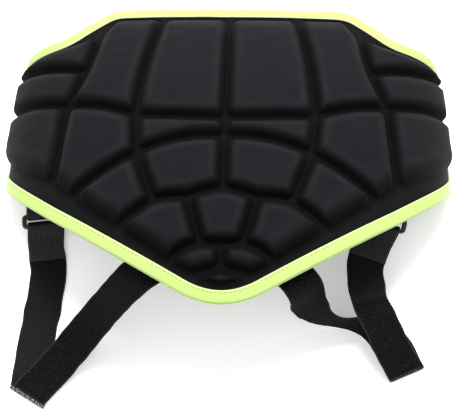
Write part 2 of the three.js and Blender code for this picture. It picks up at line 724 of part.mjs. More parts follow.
// The whole thigh loop: the hem over the buckle's lower bar, the run to the fold, the run back under the pad
function thighStrap(loop) {
  const frame = buckleFrame(loop);
  const barUnder = frame.lowerBar.clone().addScaledVector(frame.up, -WRAP_RADIUS);

  const { turn, runAOnTop } = loop.fold;
  const foldLine = new THREE.Vector3(Math.cos(degrees(turn)), Math.sin(degrees(turn)), 0);
  const outOfFold = new THREE.Vector3(foldLine.y, -foldLine.x, 0);
  const foldAxis = new THREE.Vector3(loop.fold.across * HALF_WIDTH, loop.fold.along * PAD_LENGTH, 0);
  foldAxis.addScaledVector(outOfFold, -(PLY_PITCH + STRAP_THICKNESS) / 2);
  foldAxis.z = (STRAP_THICKNESS + PLY_PITCH) / 2;
  const fromSide = new THREE.Vector3(0, 0, runAOnTop ? 1 : -1);
  const fold = halfTurn(foldAxis, foldLine, fromSide, outOfFold, PLY_PITCH / 2);

  const runA = smoothRun([
    { centre: barUnder, ruling: frame.along },
    ...flipRulings(tableStations(barUnder, fold[0].centre, BUCKLE_RUNS[loop.side], STRAP_WIDTH), frame.along),
    fold[0],
  ]);
  const arriving = runA[runA.length - 1].centre.clone().sub(runA[runA.length - 2].centre).normalize();
  fold.forEach((station) => {
    station.halfWidth = STRAP_WIDTH / 2 / foldLine.clone().cross(arriving).length();
  });

  const hem = hemOver(runA, frame);
  const wrap = halfTurn(frame.lowerBar, frame.along, frame.up, frame.towardsTab, WRAP_RADIUS);

  const seatLift = GAP + TAPE_THICKNESS + SEAT_CLEARANCE + STRAP_THICKNESS / 2;
  const near = inPattern(loop.sewn.near);
  const far = inPattern(loop.sewn.far);
  const inwards = new THREE.Vector2(far.across - near.across, far.along - near.along).normalize();
  const outside = {
    across: near.across - inwards.x * STRAP_WIDTH * EXIT_REACH,
    along: near.along - inwards.y * STRAP_WIDTH * EXIT_REACH,
  };
  const sewn = [
    sewnStation(outside, near, seatLift + STRAP_WIDTH * EXIT_DROP),
    sewnStation(near, far, seatLift),
    sewnStation(far, near, seatLift),
  ];
  const [foldEnd, exit] = [fold[fold.length - 1].centre, sewn[0].centre];
  const runB = smoothRun([
    fold[fold.length - 1],
    ...flipRulings(tableStations(foldEnd, exit, PAD_RUNS[loop.side], exit.z), foldLine),
    ...flipRulings(sewn, frame.along),
  ]);
  return webbing([...hem, ...wrap, ...runA.slice(1), ...fold.slice(1), ...runB.slice(1)]);
}

// Turns each station's width so that it follows on from the one before
function flipRulings(stations, start) {
  let last = start;
  return stations.map((station) => {
    const ruling = station.ruling.dot(last) < 0 ? station.ruling.clone().negate() : station.ruling.clone();
    last = ruling;
    return { centre: station.centre, ruling };
  });
}

// The webbing's end, laid back over the run below it and sewn down
function hemOver(run, frame) {
  const path = new THREE.CatmullRomCurve3(run.map((station) => station.centre), false, 'centripetal');
  const total = path.getLength();
  const stations = [];
  const pieces = Math.round(HEM_LENGTH / (RUN_STEP / 2));
  for (let k = 0; k < pieces; k += 1) {
    const distance = HEM_LENGTH * (1 - k / pieces);
    const below = path.getPointAt(distance / total);
    const heading = path.getTangentAt(distance / total);
    const nearest = run.reduce((best, station) => (
      station.centre.distanceTo(below) < best.centre.distanceTo(below) ? station : best
    ));
    const face = nearest.ruling.clone().cross(heading).normalize();
    if (face.dot(frame.up) < 0) {
      face.negate();
    }
    const lying = THREE.MathUtils.smoothstep(distance, BUCKLE_BAR / 2 + GAP, HEM_FALL * WRAP_RADIUS);
    const height = 2 * WRAP_RADIUS + (PLY_PITCH - 2 * WRAP_RADIUS) * lying;
    stations.push({ centre: below.addScaledVector(face, height), ruling: nearest.ruling.clone() });
  }
  return stations;
}

// Stations of a short run that twists on its way to the pad's inner face and keeps clear of it
function twistTowards(start, startRuling, seat, beyond) {
  const heading = beyond.centre.clone().sub(seat.centre).normalize();
  const inward = heading.clone().cross(seat.ruling).normalize();
  if (inward.dot(start.clone().sub(seat.centre)) < 0) {
    inward.negate();
  }
  return TWIST_SHARES.map((share) => {
    const ruling = startRuling.clone().lerp(seat.ruling, share).normalize();
    const centre = start.clone().lerp(seat.centre, share);
    const needed = STRAP_WIDTH / 2 * Math.abs(ruling.dot(inward)) + STRAP_THICKNESS;
    const standing = centre.clone().sub(seat.centre).dot(inward);
    return { centre: centre.addScaledVector(inward, Math.max(0, needed - standing)), ruling };
  });
}

// The short webbing from the pad's inner face, round the buckle's upper bar
function buckleTab(loop) {
  const frame = buckleFrame(loop);
  const inside = frame.towardsTab.clone().negate();
  const wrap = halfTurn(frame.upperBar, frame.along, frame.up.clone().negate(), inside, WRAP_RADIUS);
  const tail = [1, 0.5].map((share) => ({
    centre: frame.upperBar.clone()
      .addScaledVector(frame.up, -WRAP_RADIUS)
      .addScaledVector(frame.towardsTab, TAB_TAIL * share),
    ruling: frame.along.clone(),
  }));
  const seatLift = SEAT_CLEARANCE + STRAP_THICKNESS / 2;
  const near = inPattern(loop.tab);
  const far = { across: near.across, along: near.along + SEWN_LENGTH };
  const sewn = flipRulings([sewnStation(near, far, seatLift), sewnStation(far, near, seatLift)], frame.along);
  const lift = frame.upperBar.clone().addScaledVector(frame.up, WRAP_RADIUS);
  const leaving = lift.clone().addScaledVector(frame.towardsTab, TAB_TAIL);
  const run = smoothRun([
    { centre: lift, ruling: frame.along },
    { centre: leaving, ruling: frame.along },
    ...twistTowards(leaving, frame.along, sewn[0], sewn[1]),
    ...sewn,
  ]);
  return webbing([...tail, ...wrap, ...run.slice(1)]);
}

// A plain plastic loop with two bars
function strapBuckle() {
  const slotWidth = STRAP_WIDTH + SLOT_CLEARANCE;
  const slotLength = BUCKLE_PITCH - BUCKLE_BAR;
  const width = slotWidth + 2 * BUCKLE_SIDE;
  const length = BUCKLE_PITCH + BUCKLE_BAR;
  const bevels = 2 * BUCKLE_BEVEL;
  const shape = new THREE.Shape();
  traceRoundedRectangle(shape, width - bevels, length - bevels, BUCKLE_CORNER - BUCKLE_BEVEL);
  const slot = new THREE.Path();
  traceRoundedRectangle(slot, slotWidth + bevels, slotLength + bevels, BUCKLE_BEVEL);
  shape.holes.push(slot);
  const depth = BUCKLE_THICKNESS - bevels;
  const geometry = new THREE.ExtrudeGeometry(shape, {
    depth,
    curveSegments: 2,
    bevelThickness: BUCKLE_BEVEL,
    bevelSize: BUCKLE_BEVEL,
    bevelSegments: 1,
  });
  geometry.translate(0, BUCKLE_PITCH / 2, -depth / 2);
  return geometry;
}

function traceRoundedRectangle(path, width, height, radius) {
  const [x, y] = [width / 2, height / 2];
  path.moveTo(-x + radius, -y);
  path.lineTo(x - radius, -y);
  path.absarc(x - radius, -y + radius, radius, -Math.PI / 2, 0);
  path.lineTo(x, y - radius);
  path.absarc(x - radius, y - radius, radius, 0, Math.PI / 2);
  path.lineTo(-x + radius, y);
  path.absarc(-x + radius, y - radius, radius, Math.PI / 2, Math.PI);
  path.lineTo(-x, -y + radius);
  path.absarc(-x + radius, -y + radius, radius, Math.PI, Math.PI * 1.5);
}

const finishes = {
  padFabric: () => new THREE.MeshStandardMaterial({ color: 0x222225, roughness: 0.78, metalness: 0 }),
  edgeTape: () => new THREE.MeshStandardMaterial({ color: 0xcdf57a, roughness: 0.7, metalness: 0 }),
  webbing: () => new THREE.MeshStandardMaterial({ color: 0x161618, roughness: 0.85, metalness: 0 }),
  plastic: () => new THREE.MeshStandardMaterial({ color: 0x101012, roughness: 0.45, metalness: 0 }),
};

function named(name, geometry, material) {
  const mesh = new THREE.Mesh(geometry, material);
  mesh.name = name;
  return mesh;
}

const hipPad = new THREE.Group();
hipPad.name = 'hip_pad';
hipPad.add(named('moulded_pad', mouldedPad(), finishes.padFabric()));
hipPad.add(named('edge_binding', edgeBinding(), finishes.edgeTape()));
THIGH_LOOPS.forEach((loop) => {
  hipPad.add(named(`thigh_strap_${loop.side}`, thighStrap(loop), finishes.webbing()));
  hipPad.add(named(`buckle_tab_${loop.side}`, buckleTab(loop), finishes.webbing()));
  const buckle = named(`strap_buckle_${loop.side}`, strapBuckle(), finishes.plastic());
  const frame = buckleFrame(loop);
  const placement = new THREE.Matrix4().makeBasis(frame.along, frame.towardsTab, frame.up);
  buckle.quaternion.setFromRotationMatrix(placement);
  buckle.position.copy(frame.lowerBar);
  hipPad.add(buckle);
});

// The whole pad stands on the surface with the middle of its box over the origin
const bounds = new THREE.Box3().setFromObject(hipPad);
const middle = bounds.getCenter(new THREE.Vector3());
hipPad.position.set(-middle.x, -middle.y, -bounds.min.z);

export default hipPad;
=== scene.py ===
"""A hip pad for sport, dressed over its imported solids.

The moulded pad, its folded edge tape, the two thigh loops, their tabs and their plastic buckles are each
built as a fine mesh on the form of the solid that they stand for. Lengths are in millimetres, in the pad's
own pattern or in the frame of the part, and become metres where a mesh is made.
"""

import logging
import math
from dataclasses import dataclass, field
from enum import Enum
from functools import cached_property
from typing import Iterable, Sequence, Union

import bpy
import numpy as np
from mathutils import Matrix

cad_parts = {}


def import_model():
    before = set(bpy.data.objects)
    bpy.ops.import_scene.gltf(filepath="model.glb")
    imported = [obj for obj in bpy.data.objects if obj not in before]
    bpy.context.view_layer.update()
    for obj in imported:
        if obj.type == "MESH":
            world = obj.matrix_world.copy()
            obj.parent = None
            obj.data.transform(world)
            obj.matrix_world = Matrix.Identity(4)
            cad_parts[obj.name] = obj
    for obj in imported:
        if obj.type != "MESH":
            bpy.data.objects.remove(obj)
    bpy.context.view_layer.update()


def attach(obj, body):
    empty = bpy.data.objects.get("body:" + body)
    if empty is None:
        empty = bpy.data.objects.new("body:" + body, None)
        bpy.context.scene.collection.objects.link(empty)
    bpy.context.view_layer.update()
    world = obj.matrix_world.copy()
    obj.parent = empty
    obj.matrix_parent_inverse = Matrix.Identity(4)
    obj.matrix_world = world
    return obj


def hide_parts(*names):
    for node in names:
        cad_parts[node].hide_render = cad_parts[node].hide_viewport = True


LOG = logging.getLogger("hip_pad")
METRE = 0.001
PATTERN_UNIT = 10.0
TINY = 1e-12
UV_NAME = "pattern"
Number = Union[float, int]
Colour = tuple[float, float, float, float]


class Slot(Enum):
    """The material slots, one for each kind of finish."""

    PAD_FABRIC = "pad_fabric"
    EDGE_TAPE = "edge_tape"
    WEBBING = "webbing"
    BUCKLE_PLASTIC = "buckle_plastic"


class Side(Enum):
    """The two thigh loops, as they lie in plan."""

    LEFT = "left"
    RIGHT = "right"


# Small vector helpers


def unit(vectors: np.ndarray) -> np.ndarray:
    """Vectors scaled to length one along the last axis."""
    return vectors / np.maximum(np.linalg.norm(vectors, axis=-1, keepdims=True), TINY)


def lengths_along(points: np.ndarray) -> np.ndarray:
    """The distance travelled at each point of a line."""
    return np.concatenate([[0.0], np.cumsum(np.linalg.norm(np.diff(points, axis=0), axis=1))])


def level_direction(degrees: float) -> np.ndarray:
    """The level direction at an angle from +X."""
    return np.array([math.cos(math.radians(degrees)), math.sin(math.radians(degrees)), 0.0])


def smoothstep(value: np.ndarray, low: float, high: float) -> np.ndarray:
    """A smooth rise from 0 at low to 1 at high."""
    share = np.clip((value - low) / (high - low), 0.0, 1.0)
    return share * share * (3 - 2 * share)


def ripples(points: np.ndarray, wavelength: float, seed: int, waves: int = 9) -> np.ndarray:
    """A smooth uneven field, the sum of waves in many directions.

    Args:
        points: Places, one a row.
        wavelength: The mean length of the waves.
        seed: The seed of the waves' directions.
        waves: How many waves are summed.

    Returns:
        One value a place, mostly between -1 and 1.
    """
    draw = np.random.default_rng(seed)
    total = np.zeros(len(points))
    for _ in range(waves):
        direction = unit(draw.normal(size=points.shape[1]))
        length = wavelength * draw.uniform(0.6, 1.6)
        total += np.sin(points @ direction * (2 * math.pi / length) + draw.uniform(0, 2 * math.pi))
    return total / math.sqrt(waves)


# The form of the pad


@dataclass(frozen=True)
class Arch:
    """The form that the pad is bent over: a rounded-off ellipse, narrower and lower towards the waist.

    Attributes:
        half_width: Half of its width at the pattern's origin.
        crown_height: Its height there.
        pad_length: The length that shares along the pad are of.
        roundness: The power of the ellipse, more for a squarer one.
        width_taper: How much of the width is lost over the pad's length, towards the waist.
        waist_fall: How much of the height is lost over it.
        lengthwise_curve: How much more is lost with the square of the share along the pad.
        shift: How far the pattern's origin lies from the part's, along +Y.
        divisions: How many steps the profile's girth is measured in.
    """

    half_width: float = 178.9
    crown_height: float = 91.0
    pad_length: float = 270.0
    roundness: float = 2.3
    width_taper: float = 0.12
    waist_fall: float = 0.71
    lengthwise_curve: float = 1.2
    shift: float = 29.875
    divisions: int = 4000

    @cached_property
    def _profile(self) -> tuple[np.ndarray, np.ndarray]:
        """The angles of the profile and the girth from the crown to each."""
        angles = np.linspace(0, math.pi / 2, self.divisions + 1)
        across = self.half_width * np.sin(angles) ** (2 / self.roundness)
        up = self.crown_height * np.cos(angles) ** (2 / self.roundness)
        return angles, lengths_along(np.stack([across, up], axis=1))

    @property
    def half_girth(self) -> float:
        """The length of the profile from the crown to the foot."""
        return float(self._profile[1][-1])

    def surface(self, pattern: np.ndarray, lift: Union[float, np.ndarray]) -> np.ndarray:
        """Where places of the flat pattern lie on the arch.

        Args:
            pattern: Across and along of each place, in the first two columns.
            lift: How far out of the arch each place is.

        Returns:
            Points in the frame of the part, in millimetres.
        """
        angles, girths = self._profile
        across, along = pattern[..., 0], pattern[..., 1]
        angle = np.interp(np.abs(across), girths, angles)
        u = np.sin(angle) ** (2 / self.roundness)
        w = np.maximum(np.cos(angle), 0.0) ** (2 / self.roundness)
        side = np.sign(across)
        share = along / self.pad_length
        width = 1 - self.width_taper * share
        height = 1 - self.waist_fall * share - self.lengthwise_curve * share**2
        width_slope = -self.width_taper / self.pad_length / width
        height_slope = (-self.waist_fall - 2 * self.lengthwise_curve * share) / self.pad_length / height
        outward = unit(
            np.stack(
                [
                    side * u ** (self.roundness - 1) / (self.half_width * width),
                    -(u**self.roundness) * width_slope - w**self.roundness * height_slope,
                    w ** (self.roundness - 1) / (self.crown_height * height),
                ],
                axis=-1,
            )
        )
        on_arch = np.stack(
            [side * u * self.half_width * width, along + self.shift, w * self.crown_height * height], axis=-1
        )
        return on_arch + outward * np.asarray(lift)[..., None]


@dataclass(frozen=True)
class Corner:
    """A corner of an outline, with the bow and the wall of the side that starts there."""

    x: float
    y: float
    radius: float
    bow: float = 0.0
    wall: float = 0.0


def rounded_outline(corners: Sequence[Corner], step: float, arc_step: float = math.pi / 20) -> np.ndarray:
    """A closed outline of bowed sides and round corners.

    Args:
        corners: The corners in order.
        step: About how far apart the points are.
        arc_step: The greatest turn between two points of a corner.

    Returns:
        The x, y and wall of each point, one a row.
    """
    greatest_share, nudge = 0.46, 1e-9
    count = len(corners)
    places = np.array([[corner.x, corner.y] for corner in corners])
    runs = np.roll(places, -1, axis=0) - places
    lengths = np.linalg.norm(runs, axis=1)
    before = np.roll(runs, 1, axis=0)
    crossed = before[:, 0] * runs[:, 1] - before[:, 1] * runs[:, 0]
    turns = np.abs(np.arctan2(crossed, (before * runs).sum(axis=1)))
    radii = np.array([corner.radius for corner in corners])
    reaches = np.minimum(radii * np.tan(turns / 2), greatest_share * np.minimum(np.roll(lengths, 1), lengths))

    def on_side(i: int, t: float) -> np.ndarray:
        """The point of side i at a share of its length."""
        sideways = np.array([-runs[i][1], runs[i][0]])
        return places[i] + runs[i] * t + sideways * (4 * corners[i].bow * t * (1 - t))

    points = []
    for i, corner in enumerate(corners):
        j = (i + count - 1) % count
        arc = turns[i] * reaches[i] / math.tan(turns[i] / 2 + nudge)
        pieces = max(1, round(turns[i] / arc_step), round(arc / step))
        for k in range(pieces + 1):
            share = k / pieces
            back = on_side(j, 1 - reaches[i] * (1 - share) / lengths[j])
            ahead = on_side(i, reaches[i] * share / lengths[i])
            wall = corners[j].wall + (corner.wall - corners[j].wall) * share
            points.append([*(back + (ahead - back) * share), wall])
        straight = lengths[i] - reaches[i] - reaches[(i + 1) % count]
        pieces = max(1, round(straight / step))
        for k in range(1, pieces):
            points.append([*on_side(i, (reaches[i] + straight * k / pieces) / lengths[i]), corner.wall])
    return np.array(points)


def inward_directions(outline: np.ndarray) -> np.ndarray:
    """The direction into a counter-clockwise outline at each of its points."""
    ahead = unit(np.roll(outline[:, :2], -1, axis=0) - outline[:, :2])
    along = unit(ahead + np.roll(ahead, 1, axis=0))
    return np.stack([-along[:, 1], along[:, 0]], axis=1)


def inset(outline: np.ndarray, distance: float) -> np.ndarray:
    """A counter-clockwise outline moved inwards."""
    moved = outline.copy()
    moved[:, :2] += inward_directions(outline) * distance
    return moved


def crossings(heights: np.ndarray, outline: np.ndarray) -> tuple[np.ndarray, np.ndarray]:
    """Where level lines cross an outline.

    Args:
        heights: The y of each line.
        outline: The outline.

    Returns:
        Whether each line crosses each side, and the x where it meets it.
    """
    start, end = outline[:, :2], np.roll(outline[:, :2], -1, axis=0)
    y = heights[:, None]
    crosses = (start[:, 1] > y) != (end[:, 1] > y)
    rise = np.where(end[:, 1] == start[:, 1], 1.0, end[:, 1] - start[:, 1])
    return crosses, start[:, 0] + (y - start[:, 1]) * (end[:, 0] - start[:, 0]) / rise


def is_inside(points: np.ndarray, outline: np.ndarray) -> np.ndarray:
    """Whether each point is inside an outline."""
    crosses, meets = crossings(points[:, 1], outline)
    return (crosses & (points[:, 0, None] < meets)).sum(axis=1) % 2 == 1


def nearest_on_sides(points: np.ndarray, outline: np.ndarray) -> tuple[np.ndarray, np.ndarray, np.ndarray]:
    """The nearest place to each point on every side of an outline.

    Args:
        points: The points, one a row.
        outline: The outline.

    Returns:
        The places, their distances from the points and their shares of the sides.
    """
    start = outline[:, :2]
    run = np.roll(start, -1, axis=0) - start
    reach = points[:, None, :] - start[None]
    share = np.clip((reach * run).sum(axis=2) / np.maximum((run**2).sum(axis=1), TINY), 0, 1)
    found = start + run * share[..., None]
    return found, np.linalg.norm(found - points[:, None, :], axis=2), share


@dataclass(frozen=True)
class Junction:
    """Where grooves meet, in shares of the half girth and of the pad's length."""

    across: float
    along: float
    gentle: bool = False
    rounding: float = 9.0


# The right half of the finished edge: shares across and along, and the radius in tape reaches
EDGE_CORNERS = (
    (0, 0.505, 12),
    (0.48, 0.507, 3.5),
    (0.66, 0.401, 4),
    (1, 0.358, 1.5),
    (1, -0.030, 1.5),
    (0.60, -0.238, 12),
    (0, -0.531, 6.1),
)

# The right half of the places where grooves meet
JUNCTIONS = {
    "waistMiddle": Junction(0, 0.456, gentle=True, rounding=13),
    "waistInner": Junction(0.258, 0.459, gentle=True, rounding=13),
    "waistOuter": Junction(0.448, 0.463, gentle=True, rounding=13),
    "shoulder": Junction(0.507, 0.388),
    "wingWaist": Junction(0.600, 0.366),
    "wingTop": Junction(0.938, 0.314),
    "wingUpper": Junction(0.938, 0.283, gentle=True),
    "wingLower": Junction(0.938, 0.156, gentle=True),
    "wingFoot": Junction(0.938, 0.010, gentle=True),
    "upperFork": Junction(0.534, 0.243),
    "outerCross": Junction(0.584, 0.123),
    "innerCross": Junction(0.317, 0.067),
    "middleCross": Junction(0, 0.054),
    "crescentEnd": Junction(0.299, -0.056),
    "crescentMiddle": Junction(0, -0.006),
    "hipFoot": Junction(0.592, -0.135, gentle=True),
    "hipRim": Junction(0.520, -0.184, gentle=True),
    "seatFork": Junction(0.230, -0.206),
    "seatRim": Junction(0.345, -0.286, gentle=True),
    "fanTop": Junction(0.114, -0.197),
    "fanMiddle": Junction(0, -0.169),
    "fanFoot": Junction(0.068, -0.330),
    "fanFootMiddle": Junction(0, -0.333),
    "tailRim": Junction(0.170, -0.386, gentle=True),
    "tailFoot": Junction(0.095, -0.418, gentle=True),
    "tailMiddle": Junction(0, -0.396, gentle=True),
    "tipSide": Junction(0.085, -0.431, gentle=True),
    "tipTop": Junction(0, -0.402, gentle=True),
    "tipFoot": Junction(0, -0.451, gentle=True),
}

# How far grooves bow out to the left of their way, as a share of their length
BOWED_GROOVES = {
    ("innerCross", "waistInner"): -0.03,
    ("innerCross", "outerCross"): 0.05,
    ("outerCross", "wingLower"): 0.04,
    ("upperFork", "wingUpper"): 0.04,
    ("crescentEnd", "crescentMiddle"): -0.07,
    ("hipRim", "crescentEnd"): -0.04,
    ("fanTop", "fanMiddle"): -0.05,
    ("seatFork", "fanTop"): -0.05,
    ("seatRim", "seatFork"): -0.04,
    ("tailRim", "fanFoot"): -0.10,
}

# The cells of the right half, which the left half mirrors
PAIRED_CELLS = (
    ("waistMiddle", "middleCross", "innerCross", "waistInner"),
    ("waistInner", "innerCross", "outerCross", "upperFork", "shoulder", "waistOuter"),
    ("shoulder", "upperFork", "wingUpper", "wingTop", "wingWaist"),
    ("upperFork", "outerCross", "wingLower", "wingUpper"),
    ("outerCross", "hipFoot", "wingFoot", "wingLower"),
    ("innerCross", "crescentEnd", "hipRim", "hipFoot", "outerCross"),
    ("middleCross", "crescentMiddle", "crescentEnd", "innerCross"),
    ("crescentMiddle", "fanMiddle", "fanTop", "seatFork", "crescentEnd"),
    ("crescentEnd", "seatFork", "seatRim", "hipRim"),
    ("fanTop", "fanFoot", "tailRim", "seatRim", "seatFork"),
    ("fanFootMiddle", "tailMiddle", "tailFoot", "tailRim", "fanFoot"),
)

# The right half of the cells on the middle line, with their relief
MIDDLE_CELLS = (
    (("fanMiddle", "fanTop", "fanFoot", "fanFootMiddle"), 8.5),
    (("tipTop", "tipSide", "tipFoot"), 4.0),
)


@dataclass(frozen=True)
class Cell:
    """A raised cell: its foot outline with the wall's run at each point, and its relief."""

    foot: np.ndarray
    relief: float


@dataclass(frozen=True)
class Pattern:
    """The flat pattern of the pad: its finished edge and its cells.

    Attributes:
        arch: The form that it is bent over.
        tape_reach: How far the edge tape reaches in.
        groove_width: From one cell's foot to the next.
        cell_relief: How high the cells stand over the flange.
        steep_wall: The run of a cell's wall at a groove.
        gentle_wall: Its run at the open flange.
        clear_share: The greatest run, as a share of the largest circle inside the cell.
        edge_step: About how far apart the finished edge's points are.
        cell_step: About how far apart a cell's points are.
        shoulder: How far in the wall still rises, as a share of its run.
        softness: The power that rounds the wall off.
    """

    arch: Arch
    tape_reach: float = 10.0
    groove_width: float = 2.8
    cell_relief: float = 8.5
    steep_wall: float = 7.4
    gentle_wall: float = 14.0
    clear_share: float = 0.95
    edge_step: float = 2.0
    cell_step: float = 2.0
    shoulder: float = 1.6
    softness: float = 3.0

    @cached_property
    def edge(self) -> np.ndarray:
        """The finished edge, counter-clockwise from the middle of the waist."""
        right = [
            Corner(across * self.arch.half_girth, along * self.arch.pad_length, radius * self.tape_reach)
            for across, along, radius in EDGE_CORNERS
        ]
        left = [Corner(-corner.x, corner.y, corner.radius) for corner in right if corner.x > 0]
        return rounded_outline([right[0], *left, right[-1], *reversed(right[1:-1])], self.edge_step)

    @cached_property
    def cells(self) -> list[Cell]:
        """Every cell, the paired ones on both sides."""
        loops = []
        for names in PAIRED_CELLS:
            loops.append(([(name, 1) for name in names], self.cell_relief))
            loops.append(([(name, -1) for name in reversed(names)], self.cell_relief))
        for names, relief in MIDDLE_CELLS:
            mirrored = [(name, -1) for name in reversed(names[1:-1])]
            loops.append(([(name, 1) for name in names] + mirrored, relief))
        return [Cell(self._foot(loop), relief) for loop, relief in loops]

    def _foot(self, loop: Sequence[tuple[str, int]]) -> np.ndarray:
        """A cell's foot outline.

        Args:
            loop: The junctions round the cell, each with the side of the middle line.

        Returns:
            The x, y and wall run of each point, counter-clockwise.
        """
        outline = rounded_outline(self._corners(loop), self.cell_step)
        following = np.roll(outline, -1, axis=0)
        if (outline[:, 0] * following[:, 1] - following[:, 0] * outline[:, 1]).sum() < 0:
            outline = outline[::-1].copy()
        foot = inset(outline, self.groove_width / 2)
        foot[:, 2] = np.minimum(foot[:, 2], self.clear_share * self._inner_radius(foot))
        return foot

    def _corners(self, loop: Sequence[tuple[str, int]]) -> list[Corner]:
        """The corners of a cell, with the walls and bows of its sides."""
        walls = []
        for (name, _), (after, _) in zip(loop, [*loop[1:], loop[0]]):
            gentle = JUNCTIONS[name].gentle and JUNCTIONS[after].gentle
            walls.append(self.gentle_wall if gentle else self.steep_wall)
        corners = []
        for i, (name, side) in enumerate(loop):
            after, after_side = loop[(i + 1) % len(loop)]
            half = side if JUNCTIONS[name].across > 0 else after_side
            bow = BOWED_GROOVES.get((name, after), 0.0) - BOWED_GROOVES.get((after, name), 0.0)
            corners.append(
                Corner(
                    x=side * JUNCTIONS[name].across * self.arch.half_girth,
                    y=JUNCTIONS[name].along * self.arch.pad_length,
                    radius=JUNCTIONS[name].rounding,
                    bow=half * bow,
                    wall=walls[i],
                )
            )
        return corners

    @staticmethod
    def _inner_radius(foot: np.ndarray) -> float:
        """The radius of the largest circle inside a foot outline, to about a millimetre."""
        low, high = foot[:, :2].min(axis=0), foot[:, :2].max(axis=0)
        columns, rows = (np.arange(a, b, 1.5) for a, b in zip(low, high))
        places = np.stack(np.meshgrid(columns, rows), axis=-1).reshape(-1, 2)
        places = places[is_inside(places, foot)]
        reach = np.linalg.norm(places[:, None, :] - foot[None, :, :2], axis=2)
        return float(reach.min(axis=1).max())

    def relief(self, places: np.ndarray) -> tuple[np.ndarray, np.ndarray]:
        """How high the cells stand at places of the pattern.

        Args:
            places: The across and along of each place.

        Returns:
            The height over the flange, and the distance from the foot as a share of the wall's run, which is
            0 in the grooves and on the flange.
        """
        heights = np.zeros(len(places))
        shares = np.zeros(len(places))
        for cell in self.cells:
            low, high = cell.foot[:, :2].min(axis=0), cell.foot[:, :2].max(axis=0)
            near = np.flatnonzero(((places >= low) & (places <= high)).all(axis=1))
            near = near[is_inside(places[near], cell.foot)]
            share = self._wall_share(places[near], cell.foot)
            rise = 1 - (1 - np.clip(share / self.shoulder, 0, 1)) ** self.softness
            heights[near] = cell.relief * rise
            shares[near] = share
        return heights, shares

    @staticmethod
    def _wall_share(points: np.ndarray, foot: np.ndarray) -> np.ndarray:
        """The least distance from a cell's foot to each point, as a share of the wall's run there."""
        _, distance, along = nearest_on_sides(points, foot)
        start, end = foot[:, 2], np.roll(foot[:, 2], -1)
        return (distance / (start + (end - start) * along)).min(axis=1)


# Shaders


class Socket:
    """An output of a material's nodes, which Python expressions are written with."""

    def __init__(self, graph: "Graph", link: bpy.types.NodeSocket) -> None:
        """Wraps a socket of a graph's node."""
        self.graph = graph
        self.link = link

    def _maths(self, operation: str, first: "Input", second: "Input") -> "Socket":
        """The result of a Math node."""
        return self.graph.node("ShaderNodeMath", {"operation": operation}, {0: first, 1: second})

    def __add__(self, other: "Input") -> "Socket":
        """The sum."""
        return self._maths("ADD", self, other)

    def __radd__(self, other: "Input") -> "Socket":
        """The sum, reflected."""
        return self._maths("ADD", other, self)

    def __sub__(self, other: "Input") -> "Socket":
        """The difference."""
        return self._maths("SUBTRACT", self, other)

    def __rsub__(self, other: "Input") -> "Socket":
        """The difference, reflected."""
        return self._maths("SUBTRACT", other, self)

    def __mul__(self, other: "Input") -> "Socket":
        """The product."""
        return self._maths("MULTIPLY", self, other)

    def __rmul__(self, other: "Input") -> "Socket":
        """The product, reflected."""
        return self._maths("MULTIPLY", other, self)

    def __pow__(self, other: "Input") -> "Socket":
        """The power."""
        return self._maths("POWER", self, other)


Input = Union[Socket, Number, Sequence[float]]


class Graph:
    """A material and its nodes."""

    def __init__(self, name: str) -> None:
        """Makes a material with its surface shader alone."""
        self.material = bpy.data.materials.new(name)
        self.material.use_nodes = True
        self.tree = self.material.node_tree
        self.surface = self.tree.nodes["Principled BSDF"]

    def node(self, kind: str, settings: dict, inputs: dict, output: Union[int, str] = 0) -> Socket:
        """Adds a node.

        Args:
            kind: The node's type.
            settings: Its settings by name.
            inputs: Values or links by the name or number of the socket.
            output: The name or number of the socket that is wanted.

        Returns:
            The wanted output.
        """
        made = self.tree.nodes.new(kind)
        for name, value in settings.items():
            setattr(made, name, value)
        for key, value in inputs.items():
            self.feed(made.inputs[key], value)
        return Socket(self, made.outputs[output])

    def feed(self, socket: bpy.types.NodeSocket, value: Input) -> None:
        """Links a socket, or sets its value."""
        if isinstance(value, Socket):
            self.tree.links.new(value.link, socket)
        else:
            socket.default_value = value

    def mix(self, factor: Input, first: Input, second: Input) -> Socket:
        """A blend of two colours."""
        return self.node("ShaderNodeMix", {"data_type": "RGBA"}, {0: factor, 6: first, 7: second}, 2)

    def pattern(self) -> Socket:
        """The place in the piece's flat pattern."""
        return self.node("ShaderNodeUVMap", {"uv_map": UV_NAME}, {})

    def attribute(self, name: str) -> Socket:
        """A value that is stored on the mesh."""
        return self.node("ShaderNodeAttribute", {"attribute_name": name}, {}, "Fac")

    def noise(self, place: Socket, size: float, detail: float = 2.0) -> Socket:
        """Soft noise whose lumps are about a size, in millimetres."""
        inputs = {"Vector": place, "Scale": PATTERN_UNIT / size, "Detail": detail}
        return self.node("ShaderNodeTexNoise", {"noise_dimensions": "2D"}, inputs, "Fac")

    def threads(self, place: Socket, pitch: float, direction: str, bend: float = 0.0) -> Socket:
        """Parallel threads a pitch apart, in millimetres, counted along X or Y."""
        scale = math.pi / 10 * PATTERN_UNIT / pitch
        settings = {"wave_type": "BANDS", "bands_direction": direction}
        inputs = {"Vector": place, "Scale": scale, "Distortion": bend, "Detail Scale": 1.0}
        return self.node("ShaderNodeTexWave", settings, inputs, "Fac")

    def bump(self, height: Socket, distance: float, strength: float = 1.0) -> Socket:
        """A normal from a height, over a distance in millimetres."""
        inputs = {"Strength": strength, "Distance": distance * METRE, "Height": height}
        return self.node("ShaderNodeBump", {}, inputs, "Normal")

    def finish(self, values: dict) -> bpy.types.Material:
        """Sets or links the surface shader's sockets and gives the material."""
        for name, value in values.items():
            self.feed(self.surface.inputs[name], value)
        return self.material


